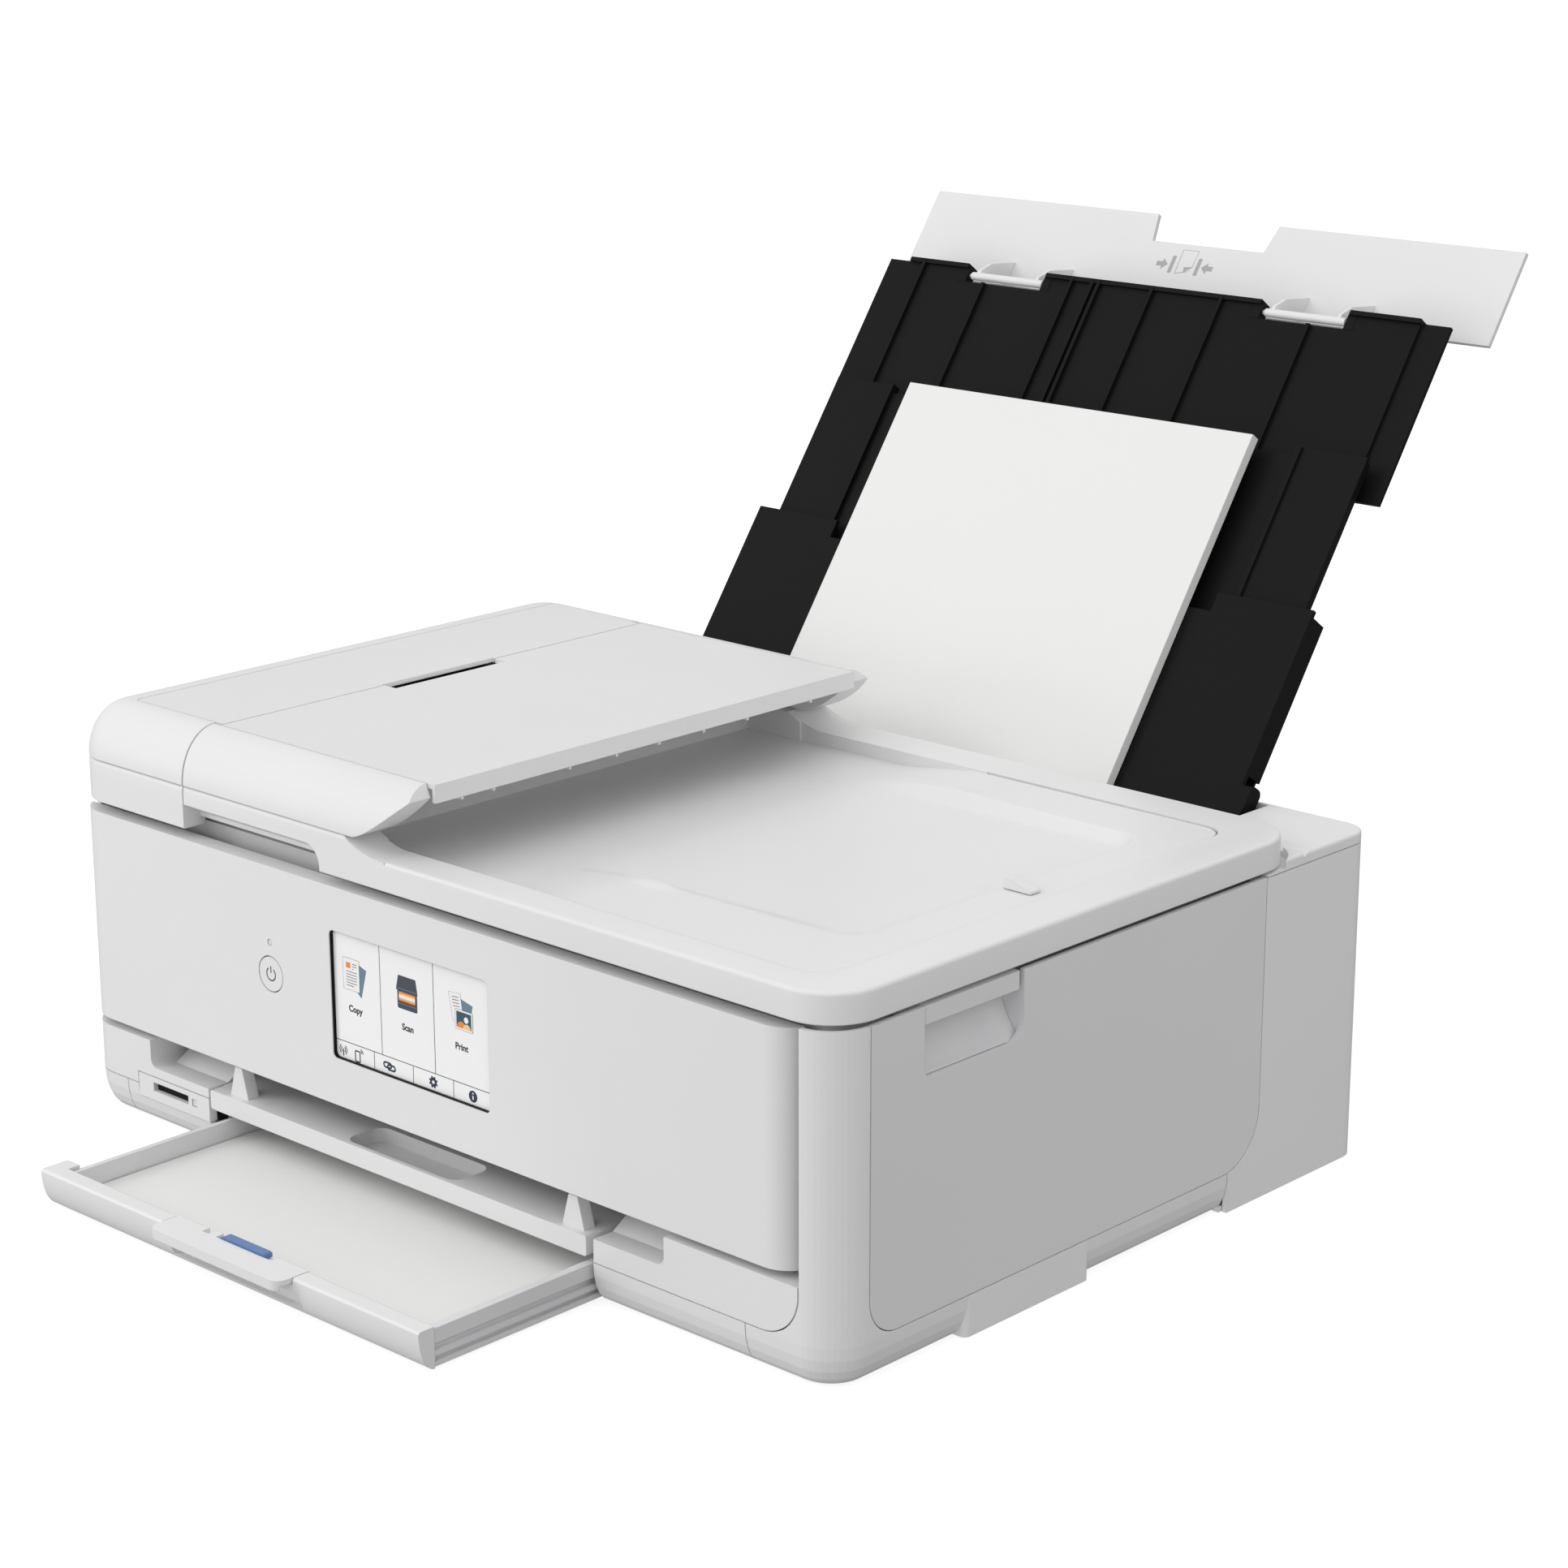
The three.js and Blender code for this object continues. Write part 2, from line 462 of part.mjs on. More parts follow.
function cassetteBody() {
  const xs = [-132, 101];
  const ys = [CASSETTE_FRONT.y + 8.4, CASSETTE_BACK_Y];
  const tub = cut(
    box(xs, ys, [1.4, CASSETTE_TOP]),
    box([xs[0] + 2, 97], [ys[0] - 1, ys[1] - 2], [3, CASSETTE_TOP + 1]),
    box([98.8, 102], [ys[0] - 1, ys[1] + 1], [8, 11]),
    box([98.8, 102], [ys[0] - 1, ys[1] + 1], [3.4, 5.6]),
    box([xs[0] - 1, xs[0] + 0.8], [ys[0] - 1, ys[1] + 1], [3.4, 5.6]),
  );
  const flange = box([-142.4, xs[0] + 1], [ys[0] + 6, ys[1] - 10], [11, 12.8]);
  return join(tub, flange);
}
piece('cassette_body', cassetteBody(), 'shellGrey');

/** Cassette front: a curved-foot bar with the finger recess below the handle. */
function cassetteFront() {
  const [x0, x1] = CASSETTE_FRONT.xs;
  const { y, top } = CASSETTE_FRONT;
  const profile = new THREE.Shape();
  profile.moveTo(y, top - 1);
  profile.absellipse(y + 8, top - 1, 8, top - 2, Math.PI, 1.5 * Math.PI, false);
  profile.lineTo(y + 8, top);
  profile.lineTo(y + 1, top);
  const bar = prism(profile, 'x', [x0, x1], 10);
  const ear = box([x0, -133.6], [y + 7, y + 14], [4, top]);
  const recess = block([-54.6, 28.9], [y - 5, y + 5.6], [5, 12.4], [0, 0, 4, 4]);
  const handleSeat = box([HANDLE.xs[0] - GAP, HANDLE.xs[1] + GAP], [y - 5, y + 20], [HANDLE.bottom - GAP, 30]);
  return cut(join(bar, ear), recess, handleSeat);
}
piece('cassette_front', cassetteFront(), 'shell');

/** Handle plate with its front lip, a notch and the slot that the latch slides in. */
function cassetteHandle() {
  const { xs, ys, bottom, top } = HANDLE;
  const profile = outline([[ys[0], 14.4], [ys[0] + 2, 14.4], [ys[0] + 2.4, bottom], [ys[1], bottom],
    [ys[1], top], [ys[0] + 1.4, top], [ys[0], top - 1.4]]);
  const slot = box([LATCH.xs[0] - 2, LATCH.xs[1] + 5], [LATCH.ys[0] - GAP, ys[1] + 1], [17.2, 30]);
  const notch = box([-38, -34], [ys[1] - 4, ys[1] + 1], [10, 30]);
  return cut(prism(profile, 'x', xs), slot, notch);
}
piece('cassette_handle', cassetteHandle(), 'shell');
piece('cassette_latch', sideView([[LATCH.xs[0], 17.5], [LATCH.xs[1], 17.5], [LATCH.xs[1], LATCH.top - 0.5],
  [LATCH.xs[1] - 1, LATCH.top], [LATCH.xs[0] + 2, LATCH.top], [LATCH.xs[0], LATCH.top - 1]], LATCH.ys), 'blue');
piece('cassette_paper', box([-129.4, 86.5], [-82.6, CASSETTE_BACK_Y - 3], [3.2, 8.6]), 'paper');

// ---------------------------------------------------------------- print unit inside
const RAIL = { y: 205, z: 80, radius: 4 };
const BELT = { y: 222, xHalf: 200, radius: 5, zs: [86, 92] };
const FEED_ROLLER = { y: 208, z: 46 };
const EXIT_ROLLER = { y: 146, z: 42 };
const SIDE_PLATE_X = 219.5;

function chassis() {
  const plateYs = [62, 256];
  const plates = [-1, 1].map((side) => (
    box(across(side, SIDE_PLATE_X, SIDE_PLATE_X + 2), plateYs, [BASE_TOP + GAP, 112])));
  const back = box([-SIDE_PLATE_X - 1, SIDE_PLATE_X + 1], [236, 238], [56, 112]);
  const beam = box([-SIDE_PLATE_X - 1, SIDE_PLATE_X + 1], [62, 64], [92, 112]);
  const brackets = [-180, 176].map((x) => join(
    box([x, x + 3], [14, 63], [104, 112]),
    box([x, x + 3], [14, 16.6], [104, 136]),
    box([x, x + 3], [6.5, 16.6], [134, PANEL_HINGE.z]),
  ));
  const holes = [[RAIL.y, RAIL.z, RAIL.radius], [FEED_ROLLER.y, FEED_ROLLER.z, 3], [EXIT_ROLLER.y, EXIT_ROLLER.z, 3]]
    .map(([y, z, radius]) => rod('x', [y, z], radius + 0.3, [-230, 230]));
  const panelShaft = rod('x', [PANEL_HINGE.y, PANEL_HINGE.z], 2, [-205, 200], 16);
  return join(cut(join(...plates, back, beam, ...brackets), ...holes), panelShaft);
}
piece('chassis', chassis(), 'steel');
piece('carriage_rail', rod('x', [RAIL.y, RAIL.z], RAIL.radius, [-SIDE_PLATE_X - 2.5, SIDE_PLATE_X + 2.5]), 'steel');

const CARRIAGE = { xs: [128, 206], ys: [162, 214], zs: [56, 102] };
const INKS = [['black', 'black', 24], ['colour', 'cyan', 46]];

/** Print carriage: an open-topped tub with one bay per ink tank, bored for its rail. */
function printCarriage() {
  const { xs, ys, zs } = CARRIAGE;
  const bays = inkPlaces().map(({ x, width }) => box([x, x + width], [ys[0] + 2.4, 198], [62, zs[1] + 1]));
  const clamp = box([160, 174], [212, 220], [93, 97]);
  const neck = box([160, 174], [210, 226.5], [93, 97]);
  return cut(join(box(xs, ys, zs), clamp, neck), ...bays, rod('x', [RAIL.y, RAIL.z], RAIL.radius + 0.3, [100, 240]));
}

/** Left edge and width of each ink bay. */
function inkPlaces() {
  const start = CARRIAGE.xs[0] + 2;
  const places = [];
  INKS.reduce((x, [name, look, width]) => {
    places.push({ name, look, x, width });
    return x + width + 2.4;
  }, start);
  return places;
}
piece('print_carriage', printCarriage(), 'black');
for (const { name, look, x, width } of inkPlaces()) {
  const tank = box([x + GAP, x + width - GAP], [CARRIAGE.ys[0] + 2.8, 197.6], [62.4, 98]);
  const grip = box([x + GAP + 1.5, x + width - GAP - 1.5], [CARRIAGE.ys[0] + 6, 176], [97, 104]);
  piece(`${name}_ink_tank`, join(tank, grip), look);
}

function carriageBelt() {
  const loop = (radius) => {
    const path = new THREE.Shape();
    path.absarc(BELT.xHalf, BELT.y, radius, -Math.PI / 2, Math.PI / 2, false);
    path.absarc(-BELT.xHalf, BELT.y, radius, Math.PI / 2, 1.5 * Math.PI, false);
    return path;
  };
  return cut(prism(loop(BELT.radius + 1), 'z', BELT.zs), prism(loop(BELT.radius), 'z', [80, 100]));
}
piece('carriage_belt', carriageBelt(), 'rubber');
piece('drive_pulley', rod('z', [-BELT.xHalf, BELT.y], BELT.radius - 0.3, [85, 93]), 'steel');
piece('idler_pulley', rod('z', [BELT.xHalf, BELT.y], BELT.radius - 0.3, [85, 93]), 'steel');
piece('carriage_motor', join(
  rod('z', [-BELT.xHalf, BELT.y], 12.6, [50, 74], 28),
  rod('z', [-BELT.xHalf, BELT.y], 2.5, [73, 84.6], 16),
), 'steel');

/** Shaft carried by the chassis plates with a thicker rubber-covered stretch. */
function rollerShaft({ y, z }, halfLength, radius) {
  return join(rod('x', [y, z], 3, [-SIDE_PLATE_X - 2.4, SIDE_PLATE_X + 2.4]),
    rod('x', [y, z], radius, [-halfLength, halfLength]));
}
piece('feed_roller', rollerShaft(FEED_ROLLER, 160, 6), 'rubber');
piece('exit_roller', rollerShaft(EXIT_ROLLER, 150, 5), 'rubber');
piece('pickup_roller', rod('x', [236, 27.5], 7, [-34, -6]), 'rubber');
piece('platen', join(box([-165, 122], [156, 198], [44, 47]),
  ...[-150, -110, -70, -30, 10, 50, 90].map((x) => box([x, x + 3], [158, 196], [46, 49.4]))), 'black');
piece('maintenance_unit', cut(box([128, 200], [160, 212 - 13], [31, 50]),
  box([136, 160], [168, 190], [44, 60]), box([168, 192], [168, 190], [44, 60])), 'shellGrey');
piece('main_board', join(box([224, 225.6], [120, 262], [24, 108]), box([225, 230], [150, 190], [60, 72]),
  box([225, 229], [205, 225], [40, 60])), 'circuit');
piece('power_supply', box([-214, -152], [70, 138], [32, 76]), 'black');

// ---------------------------------------------------------------- scanner unit
const SCANNER = { xs: [-215.6, 215.6], ys: [17, 289], zs: [121, 147.6] };
const GLASS = { xs: [-188, 117], ys: [32, 252] };

/** Open-bottomed flatbed frame with glass windows and the side tab that lifts it. */
function scannerFrame() {
  const { xs, ys, zs } = SCANNER;
  const shell = cut(
    block(xs, ys, zs, 8),
    block([xs[0] + 2.6, xs[1] - 2.6], [ys[0] + 2.6, ys[1] - 2.6], [zs[0] + 2.4, zs[1] - 5.4], 5.4),
  );
  const windows = [
    box(GLASS.xs, GLASS.ys, [zs[1] - 3.4, zs[1] + 1]),
    box([GLASS.xs[0] + 3, GLASS.xs[1] - 3], [GLASS.ys[0] + 3, GLASS.ys[1] - 3], [zs[1] - 8, zs[1] + 1]),
  ];
  const tab = block([214, HALF_WIDTH - 0.2], [51, 107.4], [138.6, BODY_TOP], 1);
  const cableHole = box([150, 190], [270, 284], [zs[0] - 1, zs[0] + 4]);
  return cut(join(shell, tab), ...windows, cableHole);
}
piece('scanner_frame', scannerFrame(), 'shellGrey');
piece('scan_glass',
  box([GLASS.xs[0] + GAP, GLASS.xs[1] - GAP], [GLASS.ys[0] + GAP, GLASS.ys[1] - GAP], [144.6, 147.4]), 'glass');
piece('scan_rail', rod('x', [142, 128.5], 2.5, [-212, 212], 16), 'steel');
piece('scan_carriage',
  cut(box([-184, -166], [36, 248], [127, 140.8]), rod('x', [142, 128.5], 2.9, [-190, -160], 16)), 'black');

// ---------------------------------------------------------------- document cover
const COVER_HINGE = { y: 294, z: 150.6 };
/** Dish in the lid: a ledge inside the rim, a sloping recess in it, and a deep end below the feeder. */
const LEDGE = { xs: [-36, 211], ys: [17, 273], z: 160.9 };
const RECESS = { floorX: 20, rightX: 190, ys: [60, 242], floor: 155, deepRightX: 75 };

function documentCover() {
  const plate = block([-HALF_WIDTH, HALF_WIDTH], [0, LID_DEPTH], [LID_BOTTOM, LID_TOP], LID_CORNERS,
    { crown: { height: 1.8, inset: 1.6 } });
  const raised = meet(
    block([-HALF_WIDTH, 40], [0, LID_DEPTH], [LID_BOTTOM, FEEDER_BASE_TOP], [LID_CORNERS[0], 0, 0, LID_CORNERS[3]]),
    prism(feederBaseView(), 'y', [-1, LID_DEPTH + 1], 10),
  );
  const left = LEDGE.xs[0];
  const slope = (rightX, ys) => sideView([[left, RECESS.floor], [RECESS.floorX, RECESS.floor], [rightX, LEDGE.z],
    [rightX, LEDGE.z + 1], [left, LEDGE.z + 1]], ys);
  const dish = join(box(LEDGE.xs, LEDGE.ys, [LEDGE.z, 170]), slope(RECESS.deepRightX, LEDGE.ys),
    slope(RECESS.rightX, RECESS.ys));
  const exit = block([-70, left + 1], [30, 268], [RECESS.floor + 2, 170]);
  const underside = block([-216, 216], [12, 284], [LID_BOTTOM - 1, LID_BOTTOM + 4], 6);
  const handle = block([-152, -60], [-1, 11], [LID_BOTTOM - 1, 159.4], [0, 0, 8, 0]);
  return cut(join(plate, raised), dish, exit, underside, handle);
}

/** Front view (z, x) of the raised feeder base, with the hollow sweep down to the lid's rim. */
function feederBaseView() {
  const path = new THREE.Shape();
  path.moveTo(LID_BOTTOM, -HALF_WIDTH);
  path.lineTo(LID_BOTTOM, -18);
  path.lineTo(LID_TOP - 0.2, -18);
  path.quadraticCurveTo(LID_TOP + 0.4, -36, FEEDER_BASE_TOP, -44);
  path.lineTo(FEEDER_BASE_TOP, -HALF_WIDTH);
  return path;
}
piece('document_cover', documentCover(), 'shell');
piece('document_pad', box([-212, 126], [24, 264], [LID_BOTTOM + 0.3, LID_BOTTOM + 3.6]), 'foam');

/** Folding stop that lies on the ledge beside the recess, its free end raised for a fingertip. */
const STOPPER = { xs: [191, 205.5], ys: [147.5, 154], bottom: LEDGE.z + 0.4, heel: 1, height: 4.4 };
const { xs: [stopLeft, stopRight], bottom: stopBottom } = STOPPER;
piece('document_stopper', sideView([[stopLeft, stopBottom], [stopRight, stopBottom],
  [stopRight, stopBottom + STOPPER.heel], [stopLeft + 2.6, stopBottom + STOPPER.height],
  [stopLeft + 1, stopBottom + STOPPER.height]], STOPPER.ys), 'shell');

// ---------------------------------------------------------------- document feeder
const CROWN = 19.5; // how far the feeder's curved faces lean in
const FEEDER_SEAM_X = -147;
const FEEDER_BOTTOM = FEEDER_BASE_TOP + 0.4;

/** The feeder's outer form, curved on its front, back and left, less an inset. */
function feederBody(inset) {
  const bottom = inset ? FEEDER_BOTTOM - 1 : FEEDER_BOTTOM;
  const crown = { height: FEEDER_TOP - FEEDER_BOTTOM - inset, inset: CROWN - inset };
  return block([-HALF_WIDTH + inset, 60], [inset, LID_DEPTH - inset], [bottom, FEEDER_TOP - inset],
    [LID_CORNERS[0] - inset, 0, 0, LID_CORNERS[3] - inset], { crown });
}

const feederShell = cut(feederBody(0), feederBody(WALL));
const FINGER_SLOT = box([FEEDER_SEAM_X - 1.5, FEEDER_SEAM_X + 8], [113, 181], [FEEDER_TOP - 4, FEEDER_TOP + 1]);
piece('feeder_cover', cut(meet(feederShell, box([-240, FEEDER_SEAM_X], [-10, 310], [0, 300])),
  box([FEEDER_SEAM_X - 1.5, FEEDER_SEAM_X + 1], [113, 181], [0, 300])), 'shell');

/** Fixed feeder frame: curved front and back walls, their closed right ends and the floor between them. */
function feederFrame() {
  const left = FEEDER_SEAM_X + GAP;
  const right = -9;
  const endView = new THREE.Shape();
  endView.moveTo(FEEDER_BOTTOM, left);
  endView.lineTo(FEEDER_BOTTOM, -38);
  endView.quadraticCurveTo(176, -22, 187, right);
  endView.lineTo(FEEDER_TOP, right - 3);
  endView.lineTo(FEEDER_TOP, left);
  const reach = prism(endView, 'y', [-10, 310], 6);
  const walls = [[-1, CROWN - 0.8], [LID_DEPTH - CROWN + 0.8, 300]].map((ys) => (
    meet(feederShell, box([left, right], ys, [0, 300]), reach)));
  const ends = [[WALL / 2, CROWN - 1.2], [LID_DEPTH - CROWN + 1.2, LID_DEPTH - WALL / 2]].map((ys) => (
    meet(feederBody(0), box([-48, right], ys, [0, 300]), reach)));
  const floor = box([left, -66], [WALL, LID_DEPTH - WALL], [FEEDER_BOTTOM, FEEDER_BOTTOM + 2]);
  return join(...walls, ...ends, floor);
}
piece('feeder_frame', feederFrame(), 'shell');

const TRAY_PANEL = {
  xs: [FEEDER_SEAM_X + GAP, -6.4],
  ys: [CROWN - 0.4, LID_DEPTH - CROWN + 0.4],
  zs: [FEEDER_TOP - 8, FEEDER_TOP],
};

/** Folding document tray: a flat panel with a turned-down right edge and ribs under it. */
function documentTray() {
  const { xs, ys, zs } = TRAY_PANEL;
  const top = box(xs, ys, [zs[1] - 2.2, zs[1]]);
  const edge = box([xs[1] - 2, xs[1]], ys, zs);
  const ribs = [34, 52, 96, 124, 150, 178, 206, 248].map((y) => (
    sideView([[xs[1] - 50, zs[1] - 2.5], [xs[1] - 50, zs[1] - 1], [xs[1] - 1, zs[1] - 1], [xs[1] - 1, zs[0] - 1.6],
      [xs[1] - 5, zs[0] - 1.6]], [y, y + 1.4])));
  return cut(join(top, edge, ...ribs), FINGER_SLOT);
}
piece('document_tray', documentTray(), 'shell');
piece('feeder_roller', rod('y', [-178, 180], 7.5, [100, 196]), 'rubber');

// ---------------------------------------------------------------- rear paper support
const support = new THREE.Group();
support.position.set(0, SUPPORT_ORIGIN.y, SUPPORT_ORIGIN.z);
support.rotation.x = -SUPPORT_LEAN;
printer.add(support);

const LOWER_SUPPORT_TOP = 89.5;
const MIDDLE_TOP = 168.4;
const UPPER_TOP = 243.5;

/** Pivot seen from the leaning frame of the support. */
function pivotInSupport() {
  const point = new THREE.Vector3(0, PIVOT.y - SUPPORT_ORIGIN.y, PIVOT.z - SUPPORT_ORIGIN.z);
  return point.applyAxisAngle(new THREE.Vector3(1, 0, 0), SUPPORT_LEAN);
}

function lowerSupport() {
  const pivot = pivotInSupport();
  const half = SUPPORT_HALF_WIDTH;
  const skin = cut(box([-half, half], [0, 2.2], [-20, LOWER_SUPPORT_TOP]),
    box([-118, 118], [-1, 3], [LOWER_SUPPORT_TOP - 9.5, 200]));
  const sides = [-1, 1].map((side) => box(across(side, half - 6, half), [0, 12], [8, LOWER_SUPPORT_TOP - 3]));
  const [earRadius, neckHalf, neckTop, pinRadius] = [5.4, 4.4, 3.3, 2.3];
  const neck = roundedRectangle([pivot.y - neckHalf, pivot.y + neckHalf], [pivot.z, neckTop], [0, 0, 3, 3]);
  const ears = [-1, 1].map((side) => join(
    rod('x', [pivot.y, pivot.z], earRadius, across(side, half - 3, half + 6)),
    prism(neck, 'x', across(side, half - 3, half + 6)),
    rod('x', [pivot.y, pivot.z], pinRadius, across(side, half, 187)),
  ));
  const web = box([-half + 1, half - 1], [9.7, 11], [4, 14]);
  return join(skin, ...sides, ...ears, web);
}
piece('lower_support', lowerSupport(), 'black', support);

function middleSupport() {
  const half = 162.6;
  const arms = [-1, 1].map((side) => join(
    box(across(side, 125, half), [5.2, 7.2], [52, MIDDLE_TOP]),
    box(across(side, 124, 127), [4, 9.4], [52, MIDDLE_TOP]),
    box(across(side, half - 2.4, half), [5.2, 9.4], [52, MIDDLE_TOP - 2]),
  ));
  const web = box([-half, half], [6.2, 8.8], [52, MIDDLE_TOP - 4]);
  return join(...arms, web);
}
piece('middle_support', middleSupport(), 'black', support);

const HINGE_BARS = [[-114.5, -68.6], [68.6, 114.5]];
const FLAP = { half: 179.7, y: 36, zs: [245, 294.5], pinY: 15.8, pinZ: 238.6 };

/** Ribbed upper plate: thin margins, a raised middle, ribs and two notches for the cover's hinge bars. */
function upperSupport() {
  const zs = [150, UPPER_TOP];
  const margins = box([-SUPPORT_HALF_WIDTH - 0.4, SUPPORT_HALF_WIDTH + 0.4], [14.6, 16.6], [zs[0], zs[1] - 1.4]);
  const raised = box([-156, 156], [13.2, 16], zs);
  const ribXs = [-147, -104, -50, -37, -33, 0, 42, 96];
  const ribs = ribXs.map((x) => box([x, x + 2], [11.4, 14], [zs[0], zs[1] - 1]));
  const header = box([-156, 156], [11.8, 18], [zs[1] - 2.4, zs[1]]);
  const notches = HINGE_BARS.map(([x0, x1]) => box([x0 - 2.4, x1 + 2.4], [0, 30], [zs[1] - 9.6, zs[1] + 1]));
  const lugs = HINGE_BARS.flatMap(([x0, x1]) => [[x0 - 6.4, x0 - 1.4], [x1 + 1.4, x1 + 6.4]]).map((xs) => (
    box(xs, [13, 18.6], [zs[1] - 9.6, zs[1] - 0.6])));
  const pinBores = HINGE_BARS.map(([x0, x1]) => rod('x', [FLAP.pinY, FLAP.pinZ], 1.5, [x0 - 4.4, x1 + 4.4], 12));
  return cut(join(cut(join(margins, raised, ...ribs, header), ...notches), ...lugs), ...pinBores);
}
piece('upper_support', upperSupport(), 'black', support);

/** Rear tray cover: a plate with a thumb notch, carried behind the upper plate by two hinge bars and arms. */
function rearTrayCover() {
  const [z0, z1] = FLAP.zs;
  const outer = outline([[-FLAP.half, z0], [FLAP.half, z0], [FLAP.half, z1], [40, z1], [37, z1 - 15], [-31, z1 - 15],
    [-34, z1], [-FLAP.half, z1]].map(([x, z]) => [z, x]).reverse());
  const plate = prism(outer, 'y', [FLAP.y, FLAP.y + 2.2]);
  const bars = HINGE_BARS.flatMap(([x0, x1]) => [
    rod('x', [FLAP.pinY, FLAP.pinZ], 2.1, [x0, x1], 16),
    rod('x', [FLAP.pinY, FLAP.pinZ], 1.2, [x0 - 3.6, x1 + 3.6], 12),
  ]);
  const arm = outline([[FLAP.pinY - 1.6, FLAP.pinZ - 1], [FLAP.pinY + 1.6, FLAP.pinZ - 1.6], [FLAP.y + 1, z0 + 3],
    [FLAP.y + 1, z0 + 14], [FLAP.pinY + 4, FLAP.pinZ + 10], [FLAP.pinY - 1.6, FLAP.pinZ + 3]]);
  const arms = HINGE_BARS.flatMap(([x0, x1]) => [[x0 + 3, x0 + 5], [x1 - 5, x1 - 3]]).map((xs) => prism(arm, 'x', xs));
  return join(plate, ...bars, ...arms);
}
piece('rear_tray_cover', rearTrayCover(), 'shell', support);
piece('rear_paper_stack', box([-105.4, 105.4], [-5.4, -0.3], [-46, 166.8]), 'paper', support);

printer.position.y = -FRAME_Y;
const group = new THREE.Group();
group.add(printer);

export default group;
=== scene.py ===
"""Looks of the inkjet printer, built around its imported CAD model."""
import json
import math

import bmesh
import bpy
from mathutils import Matrix, Vector


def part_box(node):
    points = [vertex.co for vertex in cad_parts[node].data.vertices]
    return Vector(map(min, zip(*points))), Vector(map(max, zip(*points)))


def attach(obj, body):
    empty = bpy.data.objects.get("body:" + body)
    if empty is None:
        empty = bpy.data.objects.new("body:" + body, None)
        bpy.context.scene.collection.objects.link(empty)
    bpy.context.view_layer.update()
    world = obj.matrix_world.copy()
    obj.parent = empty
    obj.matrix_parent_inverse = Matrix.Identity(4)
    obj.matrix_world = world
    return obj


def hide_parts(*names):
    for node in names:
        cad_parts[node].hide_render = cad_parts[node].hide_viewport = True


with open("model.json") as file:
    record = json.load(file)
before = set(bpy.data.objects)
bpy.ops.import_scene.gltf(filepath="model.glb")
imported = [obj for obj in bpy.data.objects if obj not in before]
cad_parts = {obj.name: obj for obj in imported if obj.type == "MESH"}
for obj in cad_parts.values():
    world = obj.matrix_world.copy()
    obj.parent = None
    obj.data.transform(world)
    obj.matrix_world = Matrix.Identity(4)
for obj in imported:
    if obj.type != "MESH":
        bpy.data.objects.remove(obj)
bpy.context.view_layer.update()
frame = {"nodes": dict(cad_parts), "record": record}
NODES = frame["nodes"]

# ---------------------------------------------------------------- camera
# Machine coordinates are in millimetres, with X = 0 at the middle of the body, Y = 0 on the front panel and
# Z = 0 on the table.
MM = 0.001
SENSOR_WIDTH, LENS = 36, 82.45
CAMERA_PLACE = (1069.868, -920.392, 603.657)
CAMERA_AZIMUTH, CAMERA_PITCH, CAMERA_ROLL = 43.1086, 16.1104, 0.1018
PANEL_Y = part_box("operation_panel")[0].y  # where the front panel lies in the frame


def machine(x, y, z):
    """A point in machine millimetres as a point of the frame in metres."""
    return Vector((x * MM, y * MM + PANEL_Y, z * MM))


def make_camera():
    data = bpy.data.cameras.new("camera")
    data.sensor_width = SENSOR_WIDTH
    data.lens = LENS
    data.clip_end = 20
    camera = bpy.data.objects.new("camera", data)
    bpy.context.scene.collection.objects.link(camera)
    azimuth, pitch, roll = (math.radians(a) for a in (CAMERA_AZIMUTH, CAMERA_PITCH, CAMERA_ROLL))
    turn = Matrix.Rotation(azimuth, 4, "Z") @ Matrix.Rotation(math.pi / 2 - pitch, 4, "X")
    turn = turn @ Matrix.Rotation(-roll, 4, "Z")
    camera.matrix_world = Matrix.Translation(machine(*CAMERA_PLACE)) @ turn
    bpy.context.scene.camera = camera


# ---------------------------------------------------------------- studio
WORLD_LIGHT = (("Y", -1, 0.62), ("Y", 1, 0.2), ("Z", 1, 0.8), ("X", -1, 0.17))  # axis, side and strength
WORLD_BASE = 0.14
SOFT_LIGHTS = {  # place and target in metres, size in metres, power in watts
    "key": ((-1.7, -2.0, 1.7), (0, 0, 0.12), (0.9, 0.9), 9),
    "side": ((1.1, 0.05, 0.55), (0.23, 0, 0.13), (0.6, 0.5), 1.3),
    "left_fill": ((-0.8, -0.9, 0.22), (-0.15, -0.17, 0.09), (0.5, 0.4), 1.25),
}
FLOOR_HALF = 40


def soft_light(name, place, target, size, power):
    data = bpy.data.lights.new(name, "AREA")
    data.shape = "RECTANGLE"
    data.size, data.size_y = size
    data.energy = power
    light = bpy.data.objects.new(name, data)
    bpy.context.scene.collection.objects.link(light)
    light.location = place
    light.rotation_euler = (Vector(target) - Vector(place)).to_track_quat("-Z", "Y").to_euler()


